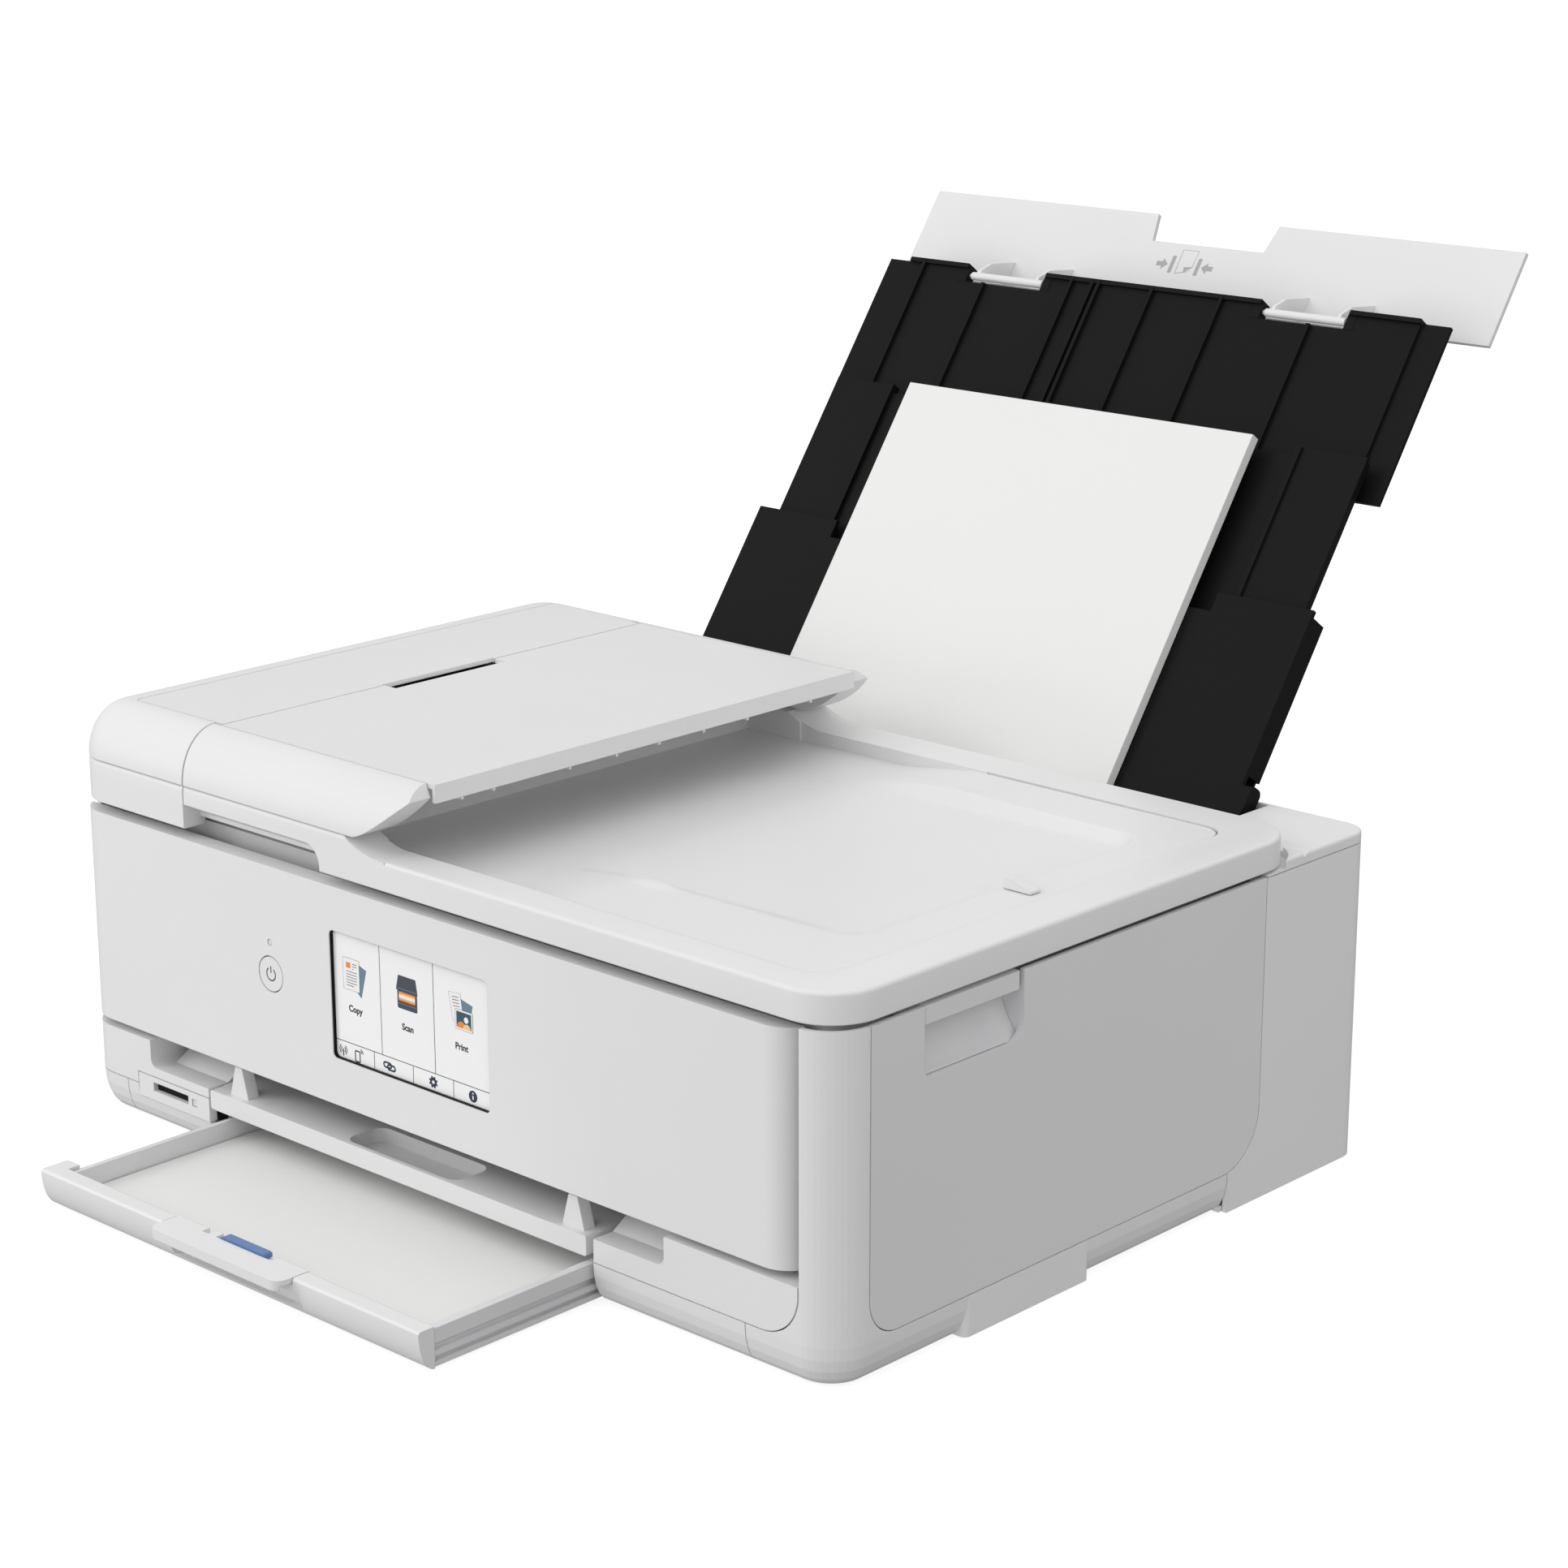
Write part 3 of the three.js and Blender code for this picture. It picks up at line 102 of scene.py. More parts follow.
def make_world():
    """Soft light from the front, the left and above, and dim from behind, the right and below."""
    world = bpy.data.worlds.new("studio")
    bpy.context.scene.world = world
    world.use_nodes = True
    tree = world.node_tree
    direction = node(tree, "ShaderNodeTexCoord")
    parts = node(tree, "ShaderNodeSeparateXYZ")
    tree.links.new(direction.outputs["Generated"], parts.inputs["Vector"])
    total = None
    for axis, towards, strength in WORLD_LIGHT:
        facing = node(tree, "ShaderNodeMath", operation="MULTIPLY")
        facing.inputs[1].default_value = towards * strength
        tree.links.new(parts.outputs[axis], facing.inputs[0])
        positive = node(tree, "ShaderNodeMath", operation="MAXIMUM")
        positive.inputs[1].default_value = 0.0
        tree.links.new(facing.outputs[0], positive.inputs[0])
        added = node(tree, "ShaderNodeMath", operation="ADD")
        tree.links.new(positive.outputs[0], added.inputs[0])
        if total is None:
            added.inputs[1].default_value = WORLD_BASE
        else:
            tree.links.new(total.outputs[0], added.inputs[1])
        total = added
    background = tree.nodes["Background"]
    background.inputs["Color"].default_value = (1, 1, 1, 1)
    tree.links.new(total.outputs[0], background.inputs["Strength"])


def make_studio():
    make_world()
    for name, settings in SOFT_LIGHTS.items():
        soft_light(name, *settings)
    half = FLOOR_HALF
    floor_mesh = bpy.data.meshes.new("floor")
    corners = [(-half, -half, 0), (half, -half, 0), (half, half, 0), (-half, half, 0)]
    floor_mesh.from_pydata(corners, [], [(0, 1, 2, 3)])
    floor = bpy.data.objects.new("floor", floor_mesh)
    bpy.context.scene.collection.objects.link(floor)
    floor.data.materials.append(floor_material())
    floor.visible_diffuse = False
    floor.visible_glossy = False
    bpy.context.scene.view_settings.view_transform = "Standard"


# ---------------------------------------------------------------- materials
def new_material(name):
    material = bpy.data.materials.new(name)
    material.use_nodes = True
    tree = material.node_tree
    return material, tree, tree.nodes["Principled BSDF"]


def node(tree, kind, **values):
    made = tree.nodes.new(kind)
    for key, value in values.items():
        if key in made.inputs:
            made.inputs[key].default_value = value
        else:
            setattr(made, key, value)
    return made


def floor_material():
    material, _, shader = new_material("floor")
    shader.inputs["Base Color"].default_value = (0.35, 0.35, 0.35, 1)
    shader.inputs["Roughness"].default_value = 0.9
    shader.inputs["Specular IOR Level"].default_value = 0.0
    shader.inputs["Emission Color"].default_value = (1, 1, 1, 1)
    shader.inputs["Emission Strength"].default_value = 0.8
    return material


ROUGHNESS_SPREAD = 0.05
GRAIN_HEIGHT = 0.0002  # metres, at full grain depth


def plastic(name, colour, roughness, grain_mm=0.45, grain_depth=0.12, mottle=0.02, specular=0.5, edge_mm=0.5):
    """Moulded plastic: faint tone variation, a fine spark-eroded grain and softly rounded edges."""
    material, tree, shader = new_material(name)
    place = node(tree, "ShaderNodeTexCoord")
    tone_noise = node(tree, "ShaderNodeTexNoise", Scale=14.0, Detail=3.0)
    tone = node(tree, "ShaderNodeMapRange")
    tone.inputs["To Min"].default_value = 1 - mottle
    tone.inputs["To Max"].default_value = 1 + mottle
    mix = node(tree, "ShaderNodeMix", data_type="RGBA", blend_type="MULTIPLY")
    mix.inputs[0].default_value = 1
    mix.inputs[6].default_value = (*colour, 1)
    grain = node(tree, "ShaderNodeTexNoise", Scale=1 / (grain_mm * MM * 2), Detail=2.0)
    rough = node(tree, "ShaderNodeMapRange")
    rough.inputs["To Min"].default_value = roughness - ROUGHNESS_SPREAD
    rough.inputs["To Max"].default_value = roughness + ROUGHNESS_SPREAD
    bump = node(tree, "ShaderNodeBump", Strength=grain_depth, Distance=GRAIN_HEIGHT)
    edge = node(tree, "ShaderNodeBevel", samples=4, Radius=edge_mm * MM)
    link = tree.links.new
    link(edge.outputs["Normal"], bump.inputs["Normal"])
    link(place.outputs["Object"], tone_noise.inputs["Vector"])
    link(place.outputs["Object"], grain.inputs["Vector"])
    link(tone_noise.outputs["Fac"], tone.inputs["Value"])
    link(tone.outputs["Result"], mix.inputs[7])
    link(mix.outputs[2], shader.inputs["Base Color"])
    link(grain.outputs["Fac"], rough.inputs["Value"])
    link(rough.outputs["Result"], shader.inputs["Roughness"])
    link(grain.outputs["Fac"], bump.inputs["Height"])
    link(bump.outputs["Normal"], shader.inputs["Normal"])
    shader.inputs["Specular IOR Level"].default_value = specular
    return material


def steel(name):
    material = plastic(name, (0.55, 0.56, 0.57), 0.32, grain_mm=0.9, grain_depth=0.05, mottle=0.06)
    material.node_tree.nodes["Principled BSDF"].inputs["Metallic"].default_value = 1.0
    return material


def clear_glass(name):
    material, tree, shader = new_material(name)
    shader.inputs["Base Color"].default_value = (0.82, 0.9, 0.9, 1)
    shader.inputs["Transmission Weight"].default_value = 0.9
    shader.inputs["IOR"].default_value = 1.5
    smear = node(tree, "ShaderNodeTexNoise", Scale=9.0, Detail=3.0)
    spread = node(tree, "ShaderNodeMapRange")
    spread.inputs["To Min"].default_value = 0.02
    spread.inputs["To Max"].default_value = 0.07
    tree.links.new(smear.outputs["Fac"], spread.inputs["Value"])
    tree.links.new(spread.outputs["Result"], shader.inputs["Roughness"])
    return material


def make_materials():
    return {
        "shell_white": plastic("shell_white", (0.80, 0.80, 0.80), 0.42),
        "shell_grey": plastic("shell_grey", (0.74, 0.74, 0.75), 0.46),
        # seam_grey also colours the dark strip laid in the dish's crease groove, where it is painted shade.
        "seam_grey": plastic("seam_grey", (0.3, 0.3, 0.3), 0.6, specular=0.2),
        "black_plastic": plastic("black_plastic", (0.006, 0.006, 0.0065), 0.5, grain_mm=0.4, grain_depth=0.2,
                                 specular=0.1),
        "display": plastic("display", (0.95, 0.95, 0.95), 0.16, grain_depth=0.0, mottle=0.005),
        "lens": plastic("lens", (0.72, 0.74, 0.76), 0.2, grain_depth=0.0),
        "glass": clear_glass("glass"),
        "steel": steel("steel"),
        "rubber": plastic("rubber", (0.025, 0.025, 0.026), 0.75, grain_mm=0.7, grain_depth=0.3, mottle=0.08),
        "paper": plastic("paper", (0.84, 0.84, 0.83), 0.85, grain_mm=0.25, grain_depth=0.1, mottle=0.006,
                         specular=0.2),
        "blue_plastic": plastic("blue_plastic", (0.095, 0.2, 0.45), 0.36),
        "circuit_board": plastic("circuit_board", (0.015, 0.12, 0.045), 0.4, mottle=0.1),
        "black_ink": plastic("black_ink", (0.02, 0.02, 0.022), 0.25),
        "colour_ink": plastic("colour_ink", (0.02, 0.22, 0.55), 0.25),
        "foam": plastic("foam", (0.84, 0.84, 0.84), 0.95, grain_mm=1.2, grain_depth=0.4, specular=0.1),
    }


MATERIALS = make_materials()
SHARP_DEGREES = 32  # faces that meet at more than this keep a hard edge
SHARP_MOULDED_DEGREES = 24


def dress_cad_nodes():
    """Gives each CAD node its slot's material and smooths its rounded faces."""
    slots = {row["node"]: row["material_slot"] for row in frame["record"]["subparts"]}
    for name, piece in NODES.items():
        piece.data.materials.clear()
        piece.data.materials.append(MATERIALS[slots[name]])
        for face in piece.data.polygons:
            face.use_smooth = True
        piece.data.set_sharp_from_angle(angle=math.radians(SHARP_DEGREES))


# ---------------------------------------------------------------- building blocks
SUPPORT_LEAN = math.radians(35.4)
SUPPORT_ORIGIN = (336.3, 158)  # where the rear paper support's own frame starts, in machine y and z


def on_support(x, y, z):
    """A point of the leaning paper support: z runs up its plates and y through them, to the back."""
    sine, cosine = math.sin(SUPPORT_LEAN), math.cos(SUPPORT_LEAN)
    return machine(x, SUPPORT_ORIGIN[0] + z * sine + y * cosine, SUPPORT_ORIGIN[1] + z * cosine - y * sine)


def clamp(value):
    return min(1.0, max(0.0, value))


def ease(value):
    """Smooth step from 0 to 1."""
    t = clamp(value)
    return t * t * (3 - 2 * t)


def arc(u, v, radius, start, end, steps=8):
    """Points on a circle, angles in degrees."""
    angles = [math.radians(start + (end - start) * i / steps) for i in range(steps + 1)]
    return [(u + radius * math.cos(a), v + radius * math.sin(a)) for a in angles]


def rounded(u0, u1, v0, v1, radii, steps=6):
    """Rounded rectangle, anticlockwise; radii run low-low, high-low, high-high, low-high."""
    centres = [(u0, v0, 1, 1), (u1, v0, -1, 1), (u1, v1, -1, -1), (u0, v1, 1, -1)]
    points = []
    for (u, v, towards_u, towards_v), radius, start in zip(centres, radii, (180, 270, 0, 90)):
        r = max(radius, 0.01)
        points += arc(u + towards_u * r, v + towards_v * r, r, start, start + 90, steps)
    return points


def loft(mesh, rings, material=0):
    """Closed solid through rings of as many points each, capped at both ends."""
    rows = [[mesh.verts.new(point) for point in ring] for ring in rings]
    faces = [mesh.faces.new(rows[0]), mesh.faces.new(rows[-1])]
    for low, high in zip(rows, rows[1:]):
        for i in range(len(low)):
            j = (i + 1) % len(low)
            faces.append(mesh.faces.new((low[i], low[j], high[j], high[i])))
    for face in faces:
        face.material_index = material


def prism(mesh, place, outline, low, high, material=0):
    """Extrudes an outline (u, v) from one height to another; place turns (u, v, height) into a point."""
    loft(mesh, [[place(u, v, height) for u, v in outline] for height in (low, high)], material)


def band(mesh, place, points, width, low, high, material=0, closed=False):
    """Strip of one width along a line of points, as a closed solid."""
    count = len(points)
    stations = []
    for i, (u, v) in enumerate(points):
        before = points[(i - 1) % count] if closed or i else points[0]
        after = points[(i + 1) % count] if closed or i < count - 1 else points[-1]
        along = Vector((after[0] - before[0], after[1] - before[1])).normalized() * width / 2
        left, right = (u - along.y, v + along.x), (u + along.y, v - along.x)
        corners = ((*left, low), (*right, low), (*right, high), (*left, high))
        stations.append([mesh.verts.new(place(*corner)) for corner in corners])
    pairs = list(zip(stations, stations[1:]))
    if closed:
        pairs.append((stations[-1], stations[0]))
    faces = [mesh.faces.new([a[i], a[(i + 1) % 4], b[(i + 1) % 4], b[i]]) for a, b in pairs for i in range(4)]
    if not closed:
        faces += [mesh.faces.new(stations[0]), mesh.faces.new(stations[-1])]
    for face in faces:
        face.material_index = material


def finished(name, mesh, materials):
    """Turns a bmesh into an object with outward normals."""
    bmesh.ops.recalc_face_normals(mesh, faces=mesh.faces)
    data = bpy.data.meshes.new(name)
    mesh.to_mesh(data)
    mesh.free()
    for material in materials:
        data.materials.append(material)
    made = bpy.data.objects.new(name, data)
    bpy.context.scene.collection.objects.link(made)
    return made


def smooth(piece, angle):
    for face in piece.data.polygons:
        face.use_smooth = True
    piece.data.set_sharp_from_angle(angle=math.radians(angle))


def carve(piece, tool, operation="DIFFERENCE"):
    """Joins a tool to a piece or cuts it out, and deletes the tool."""
    modifier = piece.modifiers.new("carve", "BOOLEAN")
    modifier.operation = operation
    modifier.solver = "EXACT"
    modifier.object = tool
    bpy.context.view_layer.update()
    result = bpy.data.meshes.new_from_object(piece.evaluated_get(bpy.context.evaluated_depsgraph_get()))
    piece.modifiers.clear()
    old = piece.data
    piece.data = result
    piece.data.name = old.name
    bpy.data.objects.remove(tool)


def belongs(piece, body, replaced=()):
    """Attaches a piece to the body it rides on and hides the CAD nodes it stands for."""
    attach(piece, body)
    if replaced:
        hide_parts(*replaced)
    return piece


def moulded(piece, name, body, replaced):
    """Gives a carved piece its white finish, its name and its body."""
    piece.name = name
    piece.data.materials.clear()
    piece.data.materials.append(MATERIALS["shell_white"])
    for face in piece.data.polygons:
        face.material_index = 0
    smooth(piece, SHARP_MOULDED_DEGREES)
    belongs(piece, body, replaced)


def upright(z0, z1, plan):
    """Tool with a plan view (x, y), between two heights."""
    mesh = bmesh.new()
    prism(mesh, machine, plan, z0, z1)
    return finished("tool", mesh, [])


def groove(z0, z1, points, width):
    """Tool for a thin seam seen from above, along a line of (x, y) points."""
    mesh = bmesh.new()
    band(mesh, machine, points, width, z0, z1)
    return finished("tool", mesh, [])


def block(xs, ys, zs):
    """Tool with flat faces, from its ranges along x, y and z."""
    (x0, x1), (y0, y1) = xs, ys
    return upright(*zs, [(x0, y0), (x1, y0), (x1, y1), (x0, y1)])


def along_y(y0, y1, outline):
    """Tool with a front view (x, z), between two depths."""
    mesh = bmesh.new()
    prism(mesh, lambda x, z, y: machine(x, y, z), outline, y0, y1)
    return finished("tool", mesh, [])


def along_x(x0, x1, outline):
    """Tool with a side view (y, z), between two places along the width."""
    mesh = bmesh.new()
    prism(mesh, lambda y, z, x: machine(x, y, z), outline, x0, x1)
    return finished("tool", mesh, [])


# ---------------------------------------------------------------- lid with its dish
LID_HALF, LID_DEPTH, LID_BOTTOM, LID_TOP = 234, 296, 148.4, 161.5
LID_CORNERS = (22, 23, 25, 25)
FEEDER_BASE_TOP = 167.8
FRONT_SEAM_X = (-152, -151.2)  # gap between the feeder's cover and its frame, on the curved faces
LEDGE_X, LEDGE_Y, LEDGE_Z = (-36, 211), (17, 273), 160.9
LEDGE_RADIUS = 12
RECESS_Y, RECESS_RIGHT, RECESS_RADIUS, RECESS_WALL = (60, 242), 190, 13, 8
RECESS_RISE_FRONT, RECESS_RISE_BACK = 0.86, 0.26  # how much of its depth the recess loses towards the right
DEEP_Z, DEEP_X, RAMP_TOP_X = 155, 20, 78
CRESTS = ((83, RECESS_Y[0] - 3), (89, RECESS_Y[1] + 2))
CREST_HEIGHT, CREST_LENGTH, CREST_WIDTH, CREST_LIMIT = 1.8, 8, 2.6, 0.9
DISH_COLUMNS, DISH_ROWS = 124, 128
LID_HEIGHTS = (140, 180)  # heights well below and well above the lid


def dish_height(x, y):
    """Height of the dish: a ledge that dips under the feeder, and a recess that slopes up to the right."""
    drop = LEDGE_Z - DEEP_Z
    ledge = LEDGE_Z - drop * ease((RAMP_TOP_X - x) / (RAMP_TOP_X - DEEP_X))
    along = clamp((x - DEEP_X) / (RECESS_RIGHT - DEEP_X))
    towards_back = clamp((y - RECESS_Y[0]) / (RECESS_Y[1] - RECESS_Y[0]))
    rise = RECESS_RISE_FRONT - (RECESS_RISE_FRONT - RECESS_RISE_BACK) * towards_back
    floor = DEEP_Z + drop * along * rise
    middle = (RECESS_Y[0] + RECESS_Y[1]) / 2
    out_x = x - (RECESS_RIGHT - RECESS_RADIUS)
    out_y = abs(y - middle) - ((RECESS_Y[1] - RECESS_Y[0]) / 2 - RECESS_RADIUS)
    edge = math.hypot(max(out_x, 0), max(out_y, 0)) + min(max(out_x, out_y), 0) - RECESS_RADIUS
    height = ledge + (floor - ledge) * (1 - (1 - clamp(-edge / RECESS_WALL)) ** 2)
    for crest_x, crest_y in CRESTS:
        u, v = (x - crest_x) / CREST_LENGTH, (y - crest_y) / CREST_WIDTH
        height += CREST_HEIGHT * math.exp(-u ** 2 - v ** 2)
    return min(height, LEDGE_Z + CREST_LIMIT)


def dish_tool():
    """Solid that fills the dish, with its underside on the dish's surface."""
    (x0, x1), (y0, y1) = LEDGE_X, LEDGE_Y
    columns, rows, tool_top = DISH_COLUMNS, DISH_ROWS, 200 * MM
    mesh = bmesh.new()
    grid = []
    for j in range(rows + 1):
        y = y0 + (y1 - y0) * j / rows
        xs = [x0 + (x1 - x0) * i / columns for i in range(columns + 1)]
        grid.append([mesh.verts.new(machine(x, y, dish_height(x, y))) for x in xs])
    for j in range(rows):
        for i in range(columns):
            mesh.faces.new((grid[j][i], grid[j][i + 1], grid[j + 1][i + 1], grid[j + 1][i]))
    border = grid[0][:-1] + [row[-1] for row in grid[:-1]] + grid[-1][:0:-1] + [row[0] for row in grid[:0:-1]]
    top = [mesh.verts.new(Vector((vert.co.x, vert.co.y, tool_top))) for vert in border]
    for i in range(len(border)):
        j = (i + 1) % len(border)
        mesh.faces.new((border[i], border[j], top[j], top[i]))
    mesh.faces.new(top)
    tool = finished("dish_tool", mesh, [])
    plan = rounded(x0 - 5, x1 - 0.1, y0 + 0.1, y1 - 0.1, (0, LEDGE_RADIUS, LEDGE_RADIUS, 0), 8)
    carve(tool, upright(*LID_HEIGHTS, plan), "INTERSECT")
    return tool


def lid_slab(name, right, top, corners):
    """Flat part of the lid with rounded plan corners and a rounded top edge."""
    mesh = bmesh.new()
    edge, foot = 1.8, 0.4
    profile = [(foot, LID_BOTTOM), (0, LID_BOTTOM + foot)] + arc(edge, top - edge, edge, 180, 90, 6)
    rings = []
    for inset, z in profile:
        radii = [max(0, r - inset) for r in corners]
        plan = rounded(-LID_HALF + inset, right - inset, inset, LID_DEPTH - inset, radii, 10)
        rings.append([machine(x, y, z) for x, y in plan])
    loft(mesh, rings)
    return finished(name, mesh, [])


def feeder_base():
    """Raised left part of the lid that carries the feeder, with its hollow sweep down to the rim."""
    left, sweep_left, sweep_right = -240, -44, -18
    base = lid_slab("feeder_base", 20, FEEDER_BASE_TOP, (LID_CORNERS[0], 0, 0, LID_CORNERS[3]))
    steps = 12
    sweep = []
    for i in range(steps + 1):
        t = i / steps
        fall = (FEEDER_BASE_TOP - LID_TOP + 0.3) * (1 - (1 - t) ** 2.2)
        sweep.append((sweep_left + (sweep_right - sweep_left) * t, FEEDER_BASE_TOP - fall))
    low, high = LID_BOTTOM - 5, FEEDER_BASE_TOP + 7.2
    front_view = [(left, low), (sweep_right, low)] + sweep[::-1] + [(sweep_left, high), (left, high)]
    carve(base, along_y(-5, 300, front_view), "INTERSECT")
    return base


def dish_crease():
    """Line of the seam round the dish, from the feeder's foot at the front to the one at the back."""
    right, (front, back), radius = LEDGE_X[1], LEDGE_Y, LEDGE_RADIUS
    front_corner = arc(right - radius, front + radius, radius, -90, 0)
    back_corner = arc(right - radius, back - radius, radius, 0, 90)
    return [(RAMP_TOP_X, front)] + front_corner + back_corner + [(RAMP_TOP_X, back)]


def finger_grip():
    """Tool for the finger hollow under the lid's front edge, with a round right end."""
    left, right, low, mouth_top, end_radius = -152, -60, 146, 159.6, 9.5
    slope = [(0.3, mouth_top), (9.4, 154.4), (9.4, 152.4), (12, 152.4)]
    side_view = [(-1, low), (-1, mouth_top)] + slope + [(12, low)]
    round_end = arc(right - end_radius, mouth_top - end_radius, end_radius, 0, 90, 10)
    grip = along_x(left, right, side_view)
    carve(grip, along_y(-3, 13, [(left, low), (right, low)] + round_end + [(left, mouth_top)]), "INTERSECT")
    return grip


def make_lid():
    """Lid with the feeder's base, the sculpted dish and its crease groove with a dark strip of painted shade
    in it, and hollows at its edge and below.
    """
    lid = lid_slab("lid_cover", LID_HALF, LID_TOP, LID_CORNERS)
    carve(lid, feeder_base(), "UNION")
    carve(lid, dish_tool())
    paper_exit = block((-70, -35.5), (18, 272), (DEEP_Z, 172))
    carve(lid, paper_exit)
    crease, crease_width = dish_crease(), 1.0
    carve(lid, groove(LEDGE_Z - 3, LID_TOP + 1, crease, crease_width))
    # Dark strip in the bottom of the crease groove: painted shade that stands in for the shadow down in the
    # groove.
    seam = bmesh.new()
    band(seam, machine, crease, crease_width - 0.04, LEDGE_Z - 2.8, LEDGE_Z - 0.35)
    belongs(finished("dish_crease_painted_shade", seam, [MATERIALS["seam_grey"]]), "lid")
    front_seam = block(FRONT_SEAM_X, (-1, 1.5), (147, 169))
    carve(lid, front_seam)
    carve(lid, finger_grip())
    underside = block((-216, 216), (12, 284), (146, LID_BOTTOM + 4))
    carve(lid, underside)
    moulded(lid, "lid_cover", "lid", ["document_cover"])


# ---------------------------------------------------------------- document feeder
FEEDER_BOTTOM, FEEDER_TOP, FEEDER_CROWN, FEEDER_SKIN = 168.2, 192.8, 19.5, 2.0
FEEDER_SEAM_X = -147
FINGER_SLOT_Y = (113, 181)
FEEDER_HEIGHTS = (150, 200)  # heights well below and well above the feeder
WHOLE_DEPTH = (-5, 300)


def feeder_form(inset=0.0):
    """The feeder's outer form, round like a bullnose on its front, back and left, less an inset."""
    mesh = bmesh.new()
    rings = []
    bottom = FEEDER_BOTTOM if not inset else FEEDER_BOTTOM - 1
    steps, right = 18, 60
    for i in range(steps + 1):
        angle = math.pi / 2 * i / steps
        lean = (FEEDER_CROWN - inset) * (1 - math.cos(angle)) + inset
        z = bottom + (FEEDER_TOP - inset - bottom) * math.sin(angle)
        radii = (max(0, LID_CORNERS[0] - lean), 0, 0, max(0, LID_CORNERS[3] - lean))
        plan = rounded(-LID_HALF + lean, right, lean, LID_DEPTH - lean, radii, 12)
        rings.append([machine(x, y, z) for x, y in plan])
    loft(mesh, rings)
    return finished("feeder_form", mesh, [])


def make_feeder_cover():
    """Left cover, cut back at its curved ends, with a finger slot and the seam of its top panel."""
    cover = feeder_form()
    carve(cover, feeder_form(FEEDER_SKIN))
    seam = FEEDER_SEAM_X - 0.3
    carve(cover, block((-240, seam), WHOLE_DEPTH, FEEDER_HEIGHTS), "INTERSECT")
    carve(cover, block((seam - 1.2, seam + 5), FINGER_SLOT_Y, FEEDER_HEIGHTS))
    front_end = (WHOLE_DEPTH[0], FEEDER_CROWN + 0.4)
    back_end = (LID_DEPTH - FEEDER_CROWN - 0.4, WHOLE_DEPTH[1])
    for end in (front_end, back_end):
        carve(cover, block((FRONT_SEAM_X[0] - 0.1, -140), end, FEEDER_HEIGHTS))
    panel_line = [(seam + 2, 20.3), (-208, 20.3), (-209.4, 21.7), (-209.4, 277)]
    carve(cover, groove(FEEDER_TOP - 0.5, FEEDER_TOP + 1, panel_line, 0.45))
    moulded(cover, "feeder_cover_smooth", "feeder_cover", ["feeder_cover"])


def make_feeder_frame():
    """Front and back walls of the feeder with pointed right ends, and a floor between them at the left."""
    left, solid_from, floor_right = FRONT_SEAM_X[1], -48, -66
    walls = feeder_form()
    hollow = feeder_form(FEEDER_SKIN)
    carve(hollow, block((-240, solid_from), WHOLE_DEPTH, FEEDER_HEIGHTS), "INTERSECT")
    carve(walls, hollow)
    nose_left, nose_length, nose_height, steps = -38, 29, 18.8, 12
    nose = []
    for i in range(steps + 1):
        t = i / steps
        nose.append((nose_left + nose_length * t, FEEDER_BOTTOM + nose_height * t ** 1.35))
    top = FEEDER_TOP + 1
    carve(walls, along_y(-10, 310, [(left, FEEDER_BOTTOM)] + nose + [(-12, top), (left, top)]), "INTERSECT")
    inner = (FEEDER_CROWN - 0.8, LID_DEPTH - FEEDER_CROWN + 0.8)
    carve(walls, block((-160, 0), inner, (FEEDER_BOTTOM + 2, 200)))
    carve(walls, block((floor_right, 0), inner, (150, FEEDER_BOTTOM + 3)))
    beside_cover = (FEEDER_CROWN - 0.3, LID_DEPTH - FEEDER_CROWN + 0.3)
    carve(walls, block((-160, FEEDER_SEAM_X + 0.4), beside_cover, FEEDER_HEIGHTS))
    moulded(walls, "feeder_frame_smooth", "lid", ["feeder_frame"])


def make_finger_slot():
    """Pale floor of the slot beside the folding document tray."""
    piece = block((-146.4, -139), FINGER_SLOT_Y, (188.2, 190.2))
    piece.name = "finger_slot_floor"
    piece.data.materials.append(MATERIALS["shell_white"])
    belongs(piece, "document_tray")


# ---------------------------------------------------------------- touch screen
SCREEN_Y = 2.0
INK = {
    "paper_white": (0.93, 0.93, 0.93), "orange": (0.9, 0.27, 0.03), "pale_orange": (0.95, 0.62, 0.3),
    "slate": (0.05, 0.06, 0.08), "blue_grey": (0.15, 0.23, 0.31), "deep_blue": (0.02, 0.09, 0.13),
    "navy": (0.012, 0.025, 0.055), "line_grey": (0.16, 0.16, 0.17), "print_black": (0.02, 0.02, 0.02),
    "print_grey": (0.42, 0.42, 0.42),
}
LAYER = 0.03  # each colour of an icon lies this much above the one below
ROOT = -0.05  # how far each shape reaches into the face that it lies on


def ink(name, colour):
    return plastic(name, colour, 0.3, grain_depth=0.0, mottle=0.0, edge_mm=0.05)


INKS = {name: ink(name, colour) for name, colour in INK.items()}
INK_ORDER = list(INKS)


class Drawing:
    """Thin coloured shapes on a flat face, gathered into one piece."""

    def __init__(self, place):
        self.place = place
        self.mesh = bmesh.new()

    def fill(self, colour, outline, layer=1):
        prism(self.mesh, self.place, outline, ROOT, layer * LAYER, INK_ORDER.index(colour))

    def line(self, colour, points, width, layer=1, closed=False):
        band(self.mesh, self.place, points, width, ROOT, layer * LAYER, INK_ORDER.index(colour), closed)

    def done(self, name, body):
        return belongs(finished(name, self.mesh, [INKS[n] for n in INK_ORDER]), body)


def on_screen(u, v, out):
    return machine(u, SCREEN_Y - out, v)


def text_lines(drawing, left, right, top, count, pitch, layer):
    for i in range(count):
        end = right - (2.0 if i == count - 1 else 0.0)
        drawing.line("line_grey", [(left, top - i * pitch), (end, top - i * pitch)], 0.32, layer)


